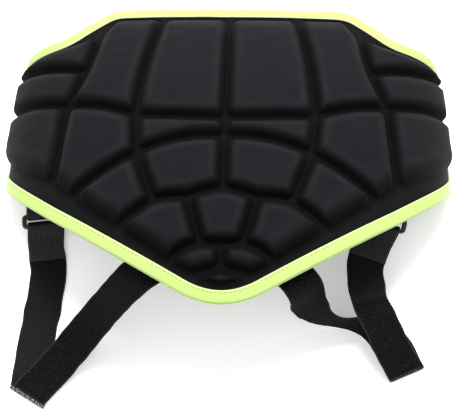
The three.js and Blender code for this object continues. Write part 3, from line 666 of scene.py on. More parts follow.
@dataclass(frozen=True)
class PadFabric:
    """Black knitted fabric, pressed over foam: painted shade darkens the grooves and the cells' walls, and
    the cells' rims are lighter from rubbing and a painted highlight.

    Attributes:
        name: The material's name.
        crown: The colour on top of the cells.
        groove: The colour in the grooves, a painted shade that also darkens the flat at the cells' feet, and
            the colour that the fibres darken to.
        rim_wear_and_highlight: The colour of the cells' lighter rims, from rubbing and a painted highlight.
        flange: The colour of the flat flange.
        painted_wall_shade: How far up a cell's wall the painted groove shade reaches, as a power of the
            height.
        rim_wear_and_highlight_share: How much the rims are lightened by rubbing and the painted highlight.
        knit_pitch: From one course or wale to the next, in millimetres.
        fuzz: How much the fibres darken the face.
        roughness: The least roughness.
    """

    name: str = "pad_fabric"
    crown: Colour = (0.0056, 0.0054, 0.0069, 1)
    groove: Colour = (0.0009, 0.0009, 0.0012, 1)
    rim_wear_and_highlight: Colour = (0.0125, 0.0125, 0.0145, 1)
    flange: Colour = (0.0036, 0.0035, 0.0035, 1)
    painted_wall_shade: float = 3.2
    rim_wear_and_highlight_share: float = 0.9
    knit_pitch: float = 0.75
    fuzz: float = 0.35
    roughness: float = 0.64

    def material(self) -> bpy.types.Material:
        """The fabric's material."""
        graph = Graph(self.name)
        place = graph.pattern()
        raised = graph.attribute("raised")
        crest = graph.attribute("crest")
        border = graph.attribute("border")
        cloudy = graph.noise(place, 26, 3)
        fibres = graph.noise(place, 0.9, 4)
        courses = graph.threads(place, self.knit_pitch, "Y", 1.2)
        wales = graph.threads(place, self.knit_pitch, "X", 1.2)
        # Painted shade: the groove colour fills the grooves and the flat at the cells' feet, and reaches up
        # the cells' walls.
        colour = graph.mix(raised**self.painted_wall_shade, self.groove, self.crown)
        colour = graph.mix(border, colour, self.flange)
        # The cells' rims are lightened in patches by rubbing and a painted highlight.
        colour = graph.mix(crest * cloudy * self.rim_wear_and_highlight_share, colour, self.rim_wear_and_highlight)
        colour = graph.mix(fibres * self.fuzz, colour, self.groove)
        weave = courses * 0.5 + wales * 0.5 + fibres * 0.9
        return graph.finish(
            {
                "Base Color": colour,
                "Roughness": self.roughness + cloudy * 0.16,
                "Normal": graph.bump(weave, 0.16, 0.8),
                "Sheen Weight": 0.012,
                "Sheen Roughness": 0.45,
                "Specular IOR Level": 0.04,
            }
        )


@dataclass(frozen=True)
class LiningFabric:
    """Black smooth-faced lining, on the hollow face."""

    name: str = "lining_fabric"
    face: Colour = (0.016, 0.016, 0.018, 1)
    shade: Colour = (0.008, 0.008, 0.009, 1)
    knit_pitch: float = 1.1

    def material(self) -> bpy.types.Material:
        """The lining's material."""
        graph = Graph(self.name)
        place = graph.pattern()
        cloudy = graph.noise(place, 18, 3)
        courses = graph.threads(place, self.knit_pitch, "DIAGONAL", 0.6)
        fibres = graph.noise(place, 0.8, 3)
        return graph.finish(
            {
                "Base Color": graph.mix(cloudy * 0.6 + fibres * 0.4, self.shade, self.face),
                "Roughness": 0.74 + cloudy * 0.12,
                "Normal": graph.bump(courses + fibres * 0.6, 0.14, 0.8),
                "Sheen Weight": 0.03,
                "Sheen Roughness": 0.4,
                "Specular IOR Level": 0.2,
            }
        )


@dataclass(frozen=True)
class EdgeTapeFinish:
    """Lime woven tape, paler at its selvedge and slightly grubby where it is handled."""

    name: str = "edge_tape"
    lime: Colour = (0.285, 0.405, 0.096, 1)
    pale: Colour = (0.40, 0.46, 0.22, 1)
    shade: Colour = (0.25, 0.35, 0.070, 1)
    cord_pitch: float = 0.8

    def material(self) -> bpy.types.Material:
        """The tape's material."""
        graph = Graph(self.name)
        place = graph.pattern()
        selvedge = graph.attribute("selvedge")
        cords = graph.threads(place, self.cord_pitch, "X", 0.5)
        picks = graph.threads(place, self.cord_pitch * 0.8, "Y", 0.3)
        cloudy = graph.noise(place, 14, 3)
        fibres = graph.noise(place, 0.6, 3)
        colour = graph.mix(cloudy * 0.35, self.lime, self.shade)
        colour = graph.mix(cords * picks * 0.2, colour, self.pale)
        colour = graph.mix(selvedge, colour, self.pale)
        return graph.finish(
            {
                "Base Color": colour,
                "Roughness": 0.62 + cloudy * 0.2,
                "Normal": graph.bump(cords * 0.7 + picks * 0.5 + fibres * 0.4, 0.12, 0.7),
                "Sheen Weight": 0.2,
                "Sheen Roughness": 0.4,
            }
        )


@dataclass(frozen=True)
class ThreadFinish:
    """Twisted sewing thread."""

    name: str
    light: Colour
    dark: Colour
    ply_pitch: float = 0.5

    def material(self) -> bpy.types.Material:
        """The thread's material."""
        graph = Graph(self.name)
        place = graph.pattern()
        plies = graph.threads(place, self.ply_pitch, "DIAGONAL")
        return graph.finish(
            {
                "Base Color": graph.mix(plies, self.dark, self.light),
                "Roughness": 0.5 + plies * 0.2,
                "Normal": graph.bump(plies, 0.06),
                "Sheen Weight": 0.15,
            }
        )


@dataclass(frozen=True)
class WebbingFinish:
    """Black elastic webbing: ribbed lengthwise where it is smooth, felted where it has loop pile.

    Attributes:
        name: The material's name.
        face: The colour of the smooth face's threads.
        rib_highlight: The colour of the ribs where they stand out, a painted highlight.
        valley_shade: The painted shade between threads and loops.
        tips: The colour of the pile's lit loops.
        hooks: The colour of the hooks.
        rim: The colour of the selvedges.
        rib_pitch: From one rib to the next, in millimetres.
        pick_pitch: From one pick to the next, in millimetres.
        sparseness: How rare the lit loops are, as a power of the noise that places them.
        hook_sparseness: How rare the hooks are, as such a power.
    """

    name: str = "webbing"
    face: Colour = (0.0125, 0.0125, 0.0132, 1)
    rib_highlight: Colour = (0.0560, 0.0560, 0.0565, 1)
    valley_shade: Colour = (0.0018, 0.0018, 0.0020, 1)
    tips: Colour = (0.0135, 0.0135, 0.0150, 1)
    hooks: Colour = (0.30, 0.30, 0.29, 1)
    rim: Colour = (0.0360, 0.0360, 0.0365, 1)
    rib_pitch: float = 1.5
    pick_pitch: float = 0.7
    sparseness: float = 6.0
    hook_sparseness: float = 8.0

    def material(self) -> bpy.types.Material:
        """The webbing's material."""
        graph = Graph(self.name)
        place = graph.pattern()
        pile, ribbed = graph.attribute("pile"), graph.attribute("ribbed")
        ribs = graph.threads(place, self.rib_pitch, "X", 0.2)
        picks = graph.threads(place, self.pick_pitch, "Y", 0.4)
        tufts = graph.noise(place, 1.3, 4)
        clumps = graph.noise(place, 5, 3)
        cloudy = graph.noise(place, 22, 2)
        bristles = graph.noise(place, 0.9, 2)
        # Painted shade between the threads.
        smooth = graph.mix(ribs * 0.6 + picks * 0.4, self.valley_shade, self.face)
        # A painted highlight on the ribs of the hem, where they stand out.
        smooth = graph.mix(ribbed * ribs, smooth, self.rib_highlight)
        # The pile: painted shade under the loops, with painted highlights on the lit loop tips.
        felt = graph.mix(tufts**self.sparseness * clumps * 14, self.valley_shade, self.tips)
        colour = graph.mix(graph.attribute("selvedge") * 0.6, graph.mix(pile, smooth, felt), self.rim)
        set_hooks = graph.attribute("hooked") * bristles**self.hook_sparseness * 40
        colour = graph.mix(set_hooks, colour, self.hooks)
        cords = ribs * (0.4 + ribbed * 0.8) + picks * 0.35
        height = (1 - pile) * cords + pile * (tufts * 2 + clumps)
        return graph.finish(
            {
                "Base Color": colour,
                "Roughness": 0.66 + pile * 0.2 + cloudy * 0.1,
                "Normal": graph.bump(height, 0.35, 0.9),
                "Sheen Weight": 0.01,
                "Sheen Roughness": 0.4,
                "Specular IOR Level": 0.05,
            }
        )


@dataclass(frozen=True)
class BucklePlastic:
    """Black moulded plastic with a fine grain, lighter in patches along its rounded edges: scuffs and a
    painted edge highlight.
    """

    name: str = "buckle_plastic"
    body: Colour = (0.012, 0.012, 0.013, 1)
    scuff_and_edge_highlight: Colour = (0.04, 0.04, 0.042, 1)

    def material(self) -> bpy.types.Material:
        """The plastic's material."""
        graph = Graph(self.name)
        place = graph.pattern()
        grain = graph.noise(place, 0.5, 3)
        cloudy = graph.noise(place, 6, 3)
        edge = graph.attribute("edge")
        return graph.finish(
            {
                # Lighter in patches along the rounded edges: scuffs and a painted edge highlight.
                "Base Color": graph.mix(edge * cloudy * 0.7, self.body, self.scuff_and_edge_highlight),
                "Roughness": 0.3 + grain * 0.18 + cloudy * 0.1,
                "Normal": graph.bump(grain, 0.05, 0.6),
                "Specular IOR Level": 0.5,
            }
        )


@dataclass(frozen=True)
class FloorPaper:
    """Pale plain paper under the pad, lit a little from below."""

    name: str = "floor_paper"
    colour: Colour = (0.95, 0.95, 0.95, 1)
    glow: float = 0.3

    def material(self) -> bpy.types.Material:
        """The paper's material."""
        return Graph(self.name).finish(
            {
                "Base Color": self.colour,
                "Roughness": 0.9,
                "Specular IOR Level": 0.1,
                "Emission Color": self.colour,
                "Emission Strength": self.glow,
            }
        )


# Meshes


@dataclass
class Surface:
    """Points, faces, pattern places and stored values that become one piece.

    Attributes:
        points: Places in the frame of the part, in millimetres.
        faces: The corners of each face.
        pattern: The place of each point in the flat pattern, in millimetres.
        values: Values stored on the points, by name.
    """

    points: np.ndarray
    faces: list
    pattern: np.ndarray
    values: dict[str, np.ndarray] = field(default_factory=dict)

    def piece(
        self, name: str, material: bpy.types.Material, slot: Slot, nodes: Iterable[str]
    ) -> bpy.types.Object:
        """Makes the piece, which rides on the root body.

        Args:
            name: The piece's name.
            material: Its finish.
            slot: The slot of that finish; not used.
            nodes: The solids that it stands for.

        Returns:
            The object.
        """
        mesh = bpy.data.meshes.new(name)
        mesh.from_pydata((self.points * METRE).tolist(), [], self.faces)
        mesh.validate()
        mesh.polygons.foreach_set("use_smooth", [True] * len(mesh.polygons))
        corners = np.zeros(len(mesh.loops), dtype=np.int32)
        mesh.loops.foreach_get("vertex_index", corners)
        layer = mesh.uv_layers.new(name=UV_NAME)
        layer.data.foreach_set("uv", (self.pattern[corners] / PATTERN_UNIT).astype(np.float32).ravel())
        for key, values in self.values.items():
            stored = mesh.attributes.new(key, "FLOAT", "POINT")
            stored.data.foreach_set("value", np.asarray(values, dtype=np.float32))
        mesh.materials.append(material)
        made = bpy.data.objects.new(name, mesh)
        bpy.context.scene.collection.objects.link(made)
        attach(made, "root")
        for node in nodes:
            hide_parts(node)
        LOG.info("%s: %d points, %d faces", name, len(mesh.vertices), len(mesh.polygons))
        return made


def strip_faces(rings: int, count: int, closed_rings: bool, closed_run: bool) -> list[list[int]]:
    """Quads between rings of points.

    Args:
        rings: How many rings there are, one after another in the points.
        count: How many points each ring has.
        closed_rings: Whether each ring is closed.
        closed_run: Whether the last ring joins the first.

    Returns:
        The corners of each quad.
    """
    i = np.arange(rings if closed_run else rings - 1)[:, None]
    k = np.arange(count if closed_rings else count - 1)[None, :]
    here, there = i * count, (i + 1) % rings * count
    after = (k + 1) % count
    quads = np.stack(np.broadcast_arrays(here + k, here + after, there + after, there + k), axis=-1)
    return quads.reshape(-1, 4).tolist()


@dataclass
class MouldedPad:
    """The moulded foam pad: the fabric facing over its cells, and the lining of its hollow.

    Attributes:
        arch: The form that it is bent over.
        pattern: Its flat pattern.
        flange: The flange's thickness.
        edge_inset: From the finished edge to the border of the facing, inside the tape.
        facing_step: The side of the facing's squares.
        lining_step: The side of the lining's squares.
        crown_swell: How much more the cells swell in their middles.
        swell_reach: How far in from the walls most of the swell is reached.
        unevenness: How uneven the cells' tops are.
        long_ripple: The length of the tops' waves.
        short_ripple: The length of the finest waves.
        crest_at: Where the lighter rim of rubbing and painted highlight is, as a share of the wall's run.
        crest_width: How wide it is, as such a share.
        flange_reach: From a cell's foot to the open flange.
    """

    arch: Arch
    pattern: Pattern
    flange: float = 4.5
    edge_inset: float = 1.5
    facing_step: float = 1.06
    lining_step: float = 3.2
    crown_swell: float = 0.5
    swell_reach: float = 14.0
    unevenness: float = 0.13
    long_ripple: float = 17.0
    short_ripple: float = 5.0
    crest_at: float = 1.0
    crest_width: float = 0.35
    flange_reach: float = 6.0

    def build(self, facing: bpy.types.Material, lining: bpy.types.Material) -> list[bpy.types.Object]:
        """Builds the facing and the lining.

        Args:
            facing: The facing's fabric.
            lining: The lining's fabric.

        Returns:
            Both pieces.
        """
        outside = self._facing().piece("pad_facing", facing, Slot.PAD_FABRIC, ["moulded_pad"])
        inside = self._lining().piece("pad_lining", lining, Slot.PAD_FABRIC, ["moulded_pad"])
        return [outside, inside]

    def _lattice(self, step: float) -> tuple[np.ndarray, np.ndarray]:
        """A square lattice inside the pad's border, whose outermost points are drawn onto the border.

        Args:
            step: The side of the lattice's squares.

        Returns:
            The places of the points and the corners of the squares, counter-clockwise.
        """
        border = inset(self.pattern.edge, self.edge_inset)
        reach = int(self.arch.half_girth / step) + 1
        columns = np.arange(-reach, reach + 1) * step
        rows = np.arange(border[:, 1].min(), border[:, 1].max(), step)
        crosses, meets = crossings(rows, border)
        within = np.abs(columns)[None, :] < np.where(crosses, meets, 0.0).max(axis=1)[:, None]
        kept = within[:-1, :-1] & within[:-1, 1:] & within[1:, :-1] & within[1:, 1:]
        full = np.zeros((len(rows) + 1, len(columns) + 1), dtype=int)
        full[1:-1, 1:-1] = kept
        squares_round = full[:-1, :-1] + full[:-1, 1:] + full[1:, :-1] + full[1:, 1:]
        numbers = np.cumsum((squares_round > 0).ravel()).reshape(squares_round.shape) - 1
        grid = np.stack(np.meshgrid(columns, rows), axis=-1)
        places = grid[squares_round > 0]
        outermost = (squares_round < 4)[squares_round > 0]
        found, distance, _ = nearest_on_sides(places[outermost], border)
        places[outermost] = found[np.arange(len(found)), distance.argmin(axis=1)]
        squares = np.stack([numbers[:-1, :-1], numbers[:-1, 1:], numbers[1:, 1:], numbers[1:, :-1]], axis=-1)
        return places, squares[kept]

    def _facing(self) -> Surface:
        """The facing, with a skirt down to the lining at the border."""
        places, squares = self._lattice(self.facing_step)
        heights, shares = self.pattern.relief(places)
        raised = np.clip(heights / self.pattern.cell_relief, 0, 1)
        beyond_wall = np.maximum(shares - 1, 0) * self.pattern.steep_wall
        swell = self.crown_swell * (1 - np.exp(-beyond_wall / self.swell_reach))
        uneven = self.unevenness * raised * ripples(places, self.long_ripple, seed=3)
        uneven += self.unevenness * 0.3 * ripples(places, self.short_ripple, seed=4)
        top = self.arch.surface(places, self.flange + heights + swell + uneven)
        # The crest mask places the rims' rubbing and painted highlight at the top of each wall.
        crest = np.exp(-(((shares - self.crest_at) / self.crest_width) ** 2)) * (shares > 0)
        border = self._border_share(places, heights)

        quads = squares.reshape(-1, 4)
        sides = np.stack([quads, np.roll(quads, -1, axis=1)], axis=-1).reshape(-1, 2)
        known = {(a, b) for a, b in sides.tolist()}
        rim = [(a, b) for a, b in sides.tolist() if (b, a) not in known]
        lower = {corner: len(places) + k for k, corner in enumerate(sorted({a for a, _ in rim}))}
        order = np.array(sorted(lower), dtype=int)
        skirt = [[b, a, lower[a], lower[b]] for a, b in rim]
        bottom = self.arch.surface(places[order], 0.0)
        return Surface(
            points=np.concatenate([top, bottom]),
            faces=quads.tolist() + skirt,
            pattern=np.concatenate([places, places[order]]),
            values={
                "raised": np.concatenate([raised, np.zeros(len(order))]),
                "crest": np.concatenate([crest, np.zeros(len(order))]),
                "border": np.concatenate([border, np.ones(len(order))]),
            },
        )

    def _border_share(self, places: np.ndarray, heights: np.ndarray) -> np.ndarray:
        """How much each flat place belongs to the open flange.

        Args:
            places: The across and along of each place.
            heights: How high the cells stand there.

        Returns:
            0 in a groove or on a cell, and 1 well away from every cell.
        """
        flat = np.flatnonzero(heights <= 0)
        nearest = np.full(len(flat), self.flange_reach)
        for cell in self.pattern.cells:
            foot = cell.foot[:, :2]
            low, high = foot.min(axis=0) - self.flange_reach, foot.max(axis=0) + self.flange_reach
            near = np.flatnonzero(((places[flat] >= low) & (places[flat] <= high)).all(axis=1))
            reach = np.linalg.norm(places[flat[near]][:, None, :] - foot[None], axis=2).min(axis=1)
            nearest[near] = np.minimum(nearest[near], reach)
        share = np.zeros(len(places))
        share[flat] = smoothstep(nearest, self.pattern.groove_width * 0.8, self.flange_reach * 0.9)
        return share

    def _lining(self) -> Surface:
        """The lining, whose outer side faces into the hollow."""
        slack, wavelength = 0.1, 26.0
        places, squares = self._lattice(self.lining_step)
        points = self.arch.surface(places, slack * ripples(places, wavelength, seed=5) - slack)
        return Surface(points, squares[:, ::-1].tolist(), places)


@dataclass
class EdgeBinding:
    """The tape folded round the pad's edge, with its two rows of stitches.

    Attributes:
        arch: The form that the pad is bent over.
        pattern: The pad's flat pattern.
        flange: The flange's thickness.
        thickness: The tape's thickness.
        gap: Between the tape and the flange.
        rounding: The radius of the tape's two folds.
        selvedge_round: How far the tape's selvedges are rounded off.
        pucker: How far the tape puckers between its stitches.
        pucker_pitch: From one stitch to the next.
        wander: How far the tape wanders up and down along the edge.
        seam_depth: How deep the seam sinks in.
        seam_width: How far to each side it sinks.
        stitch_inset: From the finished edge to the seam.
        stitch_length: A stitch's length.
        stitch_radius: The thread's radius.
    """

    arch: Arch
    pattern: Pattern
    flange: float = 4.5
    thickness: float = 1.2
    gap: float = 0.3
    rounding: float = 1.5
    selvedge_round: float = 0.35
    pucker: float = 0.16
    pucker_pitch: float = 3.4
    wander: float = 0.12
    seam_depth: float = 0.3
    seam_width: float = 2.5
    stitch_inset: float = 8.3
    stitch_length: float = 2.7
    stitch_radius: float = 0.2

    def build(self, tape: bpy.types.Material, thread: bpy.types.Material) -> list[bpy.types.Object]:
        """Builds the tape and its stitching.

        Args:
            tape: The tape's finish.
            thread: The thread's finish.

        Returns:
            The tape and the stitching.
        """
        return [
            self._tape().piece("edge_tape", tape, Slot.EDGE_TAPE, ["edge_binding"]),
            self._stitching().piece("edge_stitching", thread, Slot.EDGE_TAPE, []),
        ]

    @property
    def _top(self) -> float:
        """The tape's outer face, over the hollow face."""
        return self.flange + self.gap + self.thickness

    @property
    def _foot(self) -> float:
        """The tape's face inside the hollow."""
        return -self.gap - self.thickness

    def _section(self) -> np.ndarray:
        """The tape's section: inset from the edge, lift off the hollow face and girth, one point a row."""
        top, foot, reach, radius = self._top, self._foot, self.pattern.tape_reach, self.rounding
        eased, arc_steps, shares = self.selvedge_round, 4, (0.12, 0.3, 0.5, 0.75)
        points = [(reach, top - self.thickness), (reach, top - eased), (reach - eased, top)]
        points += [(reach - share * (reach - radius), top) for share in shares]
        for lift_at, start in ((top - radius, 90), (foot + radius, 180)):
            for step in range(arc_steps + 1):
                angle = math.radians(start + 90 / arc_steps * step)
                points.append((radius + radius * math.cos(angle), lift_at + radius * math.sin(angle)))
        points += [(reach - share * (reach - radius), foot) for share in reversed(shares)]
        points += [(reach - eased, foot), (reach, foot + eased), (reach, foot + self.thickness)]
        points += [(self.thickness, foot + self.thickness), (self.thickness, top - self.thickness)]
        section = np.array(points)
        return np.column_stack([section, lengths_along(section)])

    def _tape(self) -> Surface:
        """The folded tape, slightly puckered between its stitches."""
        section, skin, pale_width = self._section(), 0.5, 0.9
        run = lengths_along(np.concatenate([self.pattern.edge, self.pattern.edge[:1]])[:, :2])[:-1]
        puckers = self.pucker * np.sin(run * 2 * math.pi / self.pucker_pitch)
        puckers = puckers + self.wander * ripples(run[:, None], 30, 7)
        rings = []
        for inset_at, lift, _ in section:
            outside = float(lift > self._top - skin) - float(lift < -self.gap - skin)
            seam = math.exp(-(((inset_at - self.stitch_inset) / self.seam_width) ** 2))
            sunk = outside * (seam * (puckers - self.seam_depth))
            rings.append(self.arch.surface(inset(self.pattern.edge, inset_at), lift + sunk))
        count = len(run)
        pattern = np.concatenate([np.column_stack([run, np.full(count, girth)]) for girth in section[:, 2]])
        paleness = np.exp(-(((section[:, 0] - self.pattern.tape_reach) / pale_width) ** 2))
        faces = strip_faces(len(section), count, True, True)
        return Surface(np.concatenate(rings), faces, pattern, {"selvedge": np.repeat(paleness, count)})

    def _stitching(self) -> Surface:
        """A row of stitches on each face of the tape."""
        line = inset(self.pattern.edge, self.stitch_inset)[:, :2]
        closed = np.concatenate([line, line[:1]])
        run = lengths_along(closed)
        count = int(run[-1] / self.pucker_pitch)
        starts = np.arange(count) * run[-1] / count
        shares, sunk = np.array([0.0, 0.2, 0.5, 0.8, 1.0]), 0.2
        at = (starts[:, None] + shares * self.stitch_length).ravel() % run[-1]
        places = np.stack([np.interp(at, run, closed[:, i]) for i in range(2)], axis=1)
        rows = []
        for lift, outward in ((self._top - sunk, 1.0), (self._foot + sunk, -1.0)):
            arching = np.tile([-0.25, 0.12, 0.2, 0.12, -0.25], count) * outward
            centres = self.arch.surface(places, lift + arching)
            out = unit(self.arch.surface(places, lift + 1.0) - self.arch.surface(places, lift)) * outward
            shape = (count, len(shares), 3)
            rows.append(capsules(centres.reshape(shape), out.reshape(shape), self.stitch_radius))
        return joined(rows)


def capsules(centres: np.ndarray, outward: np.ndarray, radius: float) -> Surface:
    """Short lengths of thread.

    Args:
        centres: Points along each length, as lengths by points by 3.
        outward: The way out of the cloth at each point.
        radius: The thread's radius.

    Returns:
        All lengths as one surface.
    """
    lengths, points, _ = centres.shape
    sides, taper, stagger = 6, 0.55, 0.7
    along = unit(np.gradient(centres, axis=1))
    sideways = unit(np.cross(along, outward))
    out = np.cross(sideways, along)
    angles = np.arange(sides) * 2 * math.pi / sides
    swell = radius * np.interp(np.linspace(0, 1, points), [0, 0.2, 0.8, 1], [taper, 1, 1, taper])
    ring = (
        sideways[:, :, None, :] * np.cos(angles)[None, None, :, None]
        + out[:, :, None, :] * np.sin(angles)[None, None, :, None]
    )
    tube = centres[:, :, None, :] + ring * swell[None, :, None, None]
    one = strip_faces(points, sides, True, False)
    one.append(list(range(sides))[::-1])
    one.append(list(range((points - 1) * sides, points * sides)))
    size = points * sides
    faces = [[corner + k * size for corner in face] for k in range(lengths) for face in one]
    travelled = np.repeat(np.arange(lengths * points) * stagger, sides)
    pattern = np.column_stack([travelled, np.tile(angles * radius, lengths * points)])
    return Surface(tube.reshape(-1, 3), faces, pattern)


def joined(surfaces: Sequence[Surface]) -> Surface:
    """Several surfaces as one."""
    faces, first = [], 0
    for surface in surfaces:
        faces += [[corner + first for corner in face] for face in surface.faces]
        first += len(surface.points)
    values = {key: np.concatenate([s.values[key] for s in surfaces]) for key in surfaces[0].values}
    return Surface(
        np.concatenate([surface.points for surface in surfaces]),
        faces,
        np.concatenate([surface.pattern for surface in surfaces]),
        values,
    )


# Webbing and buckles


@dataclass(frozen=True)
class WebbingSizes:
    """The sizes that the straps and tabs share.

    Attributes:
        width: The webbing's width.
        thickness: Its thickness.
        hem_length: How far a strap's end is laid back over itself.
        sewn_length: How much of a tab is sewn to the hollow face.
        tab_tail: How far a tab's tail and its run leave the buckle straight.
        gap: Between two plies, and between the webbing and a bar.
        seat_clearance: Between sewn webbing and the hollow face or the tape.
        tape_thickness: The edge tape's thickness, which a strap passes under.
        exit_reach: How far out of the pad a strap is guided, as a share of the width.
        exit_drop: How much it drops there, as a share of the width.
        most_widening: The greatest width where a run crosses its rulings aslant, as a share.
        hem_fall: Over how many wrap radii the hem comes down on the run below it.
        run_step: About how far apart the stations are.
        turn_points: How many steps half a turn has.
    """

    width: float = 30.0
    thickness: float = 1.6
    hem_length: float = 30.0
    sewn_length: float = 22.0
    tab_tail: float = 11.0
    gap: float = 0.3
    seat_clearance: float = 1.4
    tape_thickness: float = 1.2
    exit_reach: float = 0.3
    exit_drop: float = 0.08
    most_widening: float = 2.0
    hem_fall: float = 4.0
    run_step: float = 1.4
    turn_points: int = 12

    @property
    def ply_pitch(self) -> float:
        """From the middle of one ply to the next."""
        return self.thickness + self.gap


@dataclass(frozen=True)
class BuckleSizes:
    """The sizes of a plastic buckle.

    Attributes:
        bar: A bar's width.
        thickness: The buckle's thickness.
        bevel: How far the bars' edges are rounded off.
        side: A side's width.
        pitch: From bar to bar.
        corner: The outer radius of a corner.
        slot_clearance: How much wider a slot is than the webbing.
    """

    bar: float = 3.6
    thickness: float = 3.0
    bevel: float = 0.8
    side: float = 4.0
    pitch: float = 9.0
    corner: float = 4.0
    slot_clearance: float = 1.2


@dataclass(frozen=True)
class Row:
    """A place on a strap's run.

    Attributes:
        across: As a share of the half width.
        along: As a share of the pad's length.
        height: The clearance under the webbing, in units that the run sets.
        roll: How far the webbing's width is tipped up, in degrees.
        bearing: Its bearing in degrees, where it isn't square to the run.
    """

    across: float
    along: float
    height: float
    roll: float
    bearing: Union[float, None] = None


@dataclass(frozen=True)
class Loop:
    """How one thigh loop lies.

    Attributes:
        side: Which loop it is.
        buckle: Across, along, height, turn and pitch of the buckle's lower bar.
        tab: Where the tab is sewn, in the pattern.
        fold: Across, along and turn of the fold.
        run_a_on_top: Whether the buckle's run lies on top at the fold.
        sewn: The near and the far end of the part that is sewn on, in the pattern.
        buckle_run: The run from the buckle to the fold.
        pad_run: The run from the fold to the pad.
        piles: Stretches of loop pile, as distances from the hem's end.
        hooks: How thickly the outside of the fold is set with pale hooks.
    """

    side: Side
    buckle: tuple[float, float, float, float, float]
    tab: tuple[float, float]
    fold: tuple[float, float, float]
    run_a_on_top: bool
    sewn: tuple[tuple[float, float], tuple[float, float]]
    buckle_run: tuple[Row, ...]
    pad_run: tuple[Row, ...]
    piles: tuple[tuple[float, float], ...]
    hooks: float


LOOPS = (
    Loop(
        side=Side.LEFT,
        buckle=(-0.848, -0.168, 0, 7, 0),
        tab=(-0.855, 0.06),
        fold=(-0.887, -0.7065, -30.5),
        run_a_on_top=False,
        sewn=((-0.265, -0.404), (-0.172, -0.350)),
        buckle_run=(
            Row(-0.842, -0.225, 0, 0),
            Row(-0.832, -0.270, 0, 0),
            Row(-0.823, -0.315, 0, 0),
            Row(-0.832, -0.394, 0, 0),
            Row(-0.856, -0.522, 0, 0),
            Row(-0.873, -0.626, 0, 0),
        ),
        pad_run=(
            Row(-0.776, -0.624, 0.03, 0),
            Row(-0.686, -0.562, 0.14, 0),
            Row(-0.604, -0.514, 0.32, 0),
            Row(-0.527, -0.478, 0.55, 0),
            Row(-0.464, -0.455, 0.77, 0),
        ),
        piles=((190.0, 420.0),),
        hooks=1.0,
    ),
    Loop(
        side=Side.RIGHT,
        buckle=(0.702, -0.194, 0.99, -13.5, 12),
        tab=(0.775, 0.03),
        fold=(0.825, -0.6186, 24),
        run_a_on_top=True,
        sewn=((0.253, -0.419), (0.178, -0.350)),
        buckle_run=(
            Row(0.641, -0.281, 1.04, -4),
            Row(0.628, -0.318, 1.04, -4),
            Row(0.634, -0.376, 1.02, -8),
            Row(0.650, -0.427, 1.00, -10),
            Row(0.691, -0.481, 0.98, -10),
            Row(0.742, -0.541, 0.62, -5),
            Row(0.792, -0.586, 0.22, 0),
        ),
        pad_run=(
            Row(0.799, -0.576, 0, -2),
            Row(0.751, -0.527, 0, -20),
            Row(0.691, -0.495, 0, -50),
            Row(0.619, -0.475, 0, -76),
            Row(0.556, -0.473, 0, 80, 0),
            Row(0.499, -0.474, 0.04, 69, 0),
            Row(0.435, -0.473, 0.17, 59, 4),
            Row(0.396, -0.464, 0.38, 45, 12),
            Row(0.366, -0.450, 0.61, 30, 24),
        ),
        piles=((105.0, 420.0),),
        hooks=0.12,
    ),
)


@dataclass
class Station:
    """A place on a run of webbing: its middle and the direction of its width."""

    centre: np.ndarray
    ruling: np.ndarray
    half_width: float = 0.0


def curve_through(points: np.ndarray, pieces: Sequence[int]) -> np.ndarray:
    """A centripetal curve through points.

    Args:
        points: The points that it passes, one a row.
        pieces: How many pieces each stretch between two points is cut into.

    Returns:
        The points of the curve, without the last one.
    """
    nudge, same_place = 1e-9, 1e-4
    first = 2 * points[0] - points[1]
    last = 2 * points[-1] - points[-2]
    padded = np.concatenate([[first], points, [last]])
    found = []
    for i, count in enumerate(pieces):
        a, b, c, d = padded[i : i + 4]
        steps = [max(np.linalg.norm(q - p), nudge) ** 0.5 for p, q in ((a, b), (b, c), (c, d))]
        middle = steps[1] if steps[1] > same_place else 1.0
        before = steps[0] if steps[0] > same_place else middle
        after = steps[2] if steps[2] > same_place else middle
        leaving = ((b - a) / before - (c - a) / (before + middle) + (c - b) / middle) * middle
        arriving = ((c - b) / middle - (d - b) / (middle + after) + (d - c) / after) * middle
        for k in range(count):
            t = k / count
            found.append(
                b
                + leaving * t
                + (3 * (c - b) - 2 * leaving - arriving) * t**2
                + (2 * (b - c) + leaving + arriving) * t**3
            )
    return np.array(found)


def turned_alike(stations: Sequence[Station], start: np.ndarray) -> list[Station]:
    """Stations whose widths each follow on from the one before."""
    last, found = start, []
    for station in stations:
        ruling = -station.ruling if station.ruling @ last < 0 else station.ruling
        found.append(Station(station.centre, ruling, station.half_width))
        last = ruling
    return found


def half_turn(
    axis: np.ndarray, ruling: np.ndarray, start: np.ndarray, through: np.ndarray, radius: float, steps: int
) -> list[Station]:
    """Half a turn of webbing round an axis.

    Args:
        axis: A point of the axis.
        ruling: The axis's direction.
        start: The direction from the axis to where the turn starts.
        through: The direction that the turn goes through.
        radius: The turn's radius.
        steps: How many steps the turn has.

    Returns:
        The turn's stations.
    """
    stations = []
    for angle in np.linspace(0, math.pi, steps + 1):
        arm = start * (radius * math.cos(angle)), through * (radius * math.sin(angle))
        stations.append(Station(axis + arm[0] + arm[1], ruling))
    return stations


@dataclass(frozen=True)
class BuckleFrame:
    """A buckle's own directions and its two bars.

    Attributes:
        along: The direction of the bars.
        towards_tab: The direction from the lower bar to the upper one.
        up: The way out of its outer face.
        lower_bar: The middle of the bar that the strap goes round.
        upper_bar: The middle of the bar that the tab goes round.
    """

    along: np.ndarray
    towards_tab: np.ndarray
    up: np.ndarray
    lower_bar: np.ndarray
    upper_bar: np.ndarray


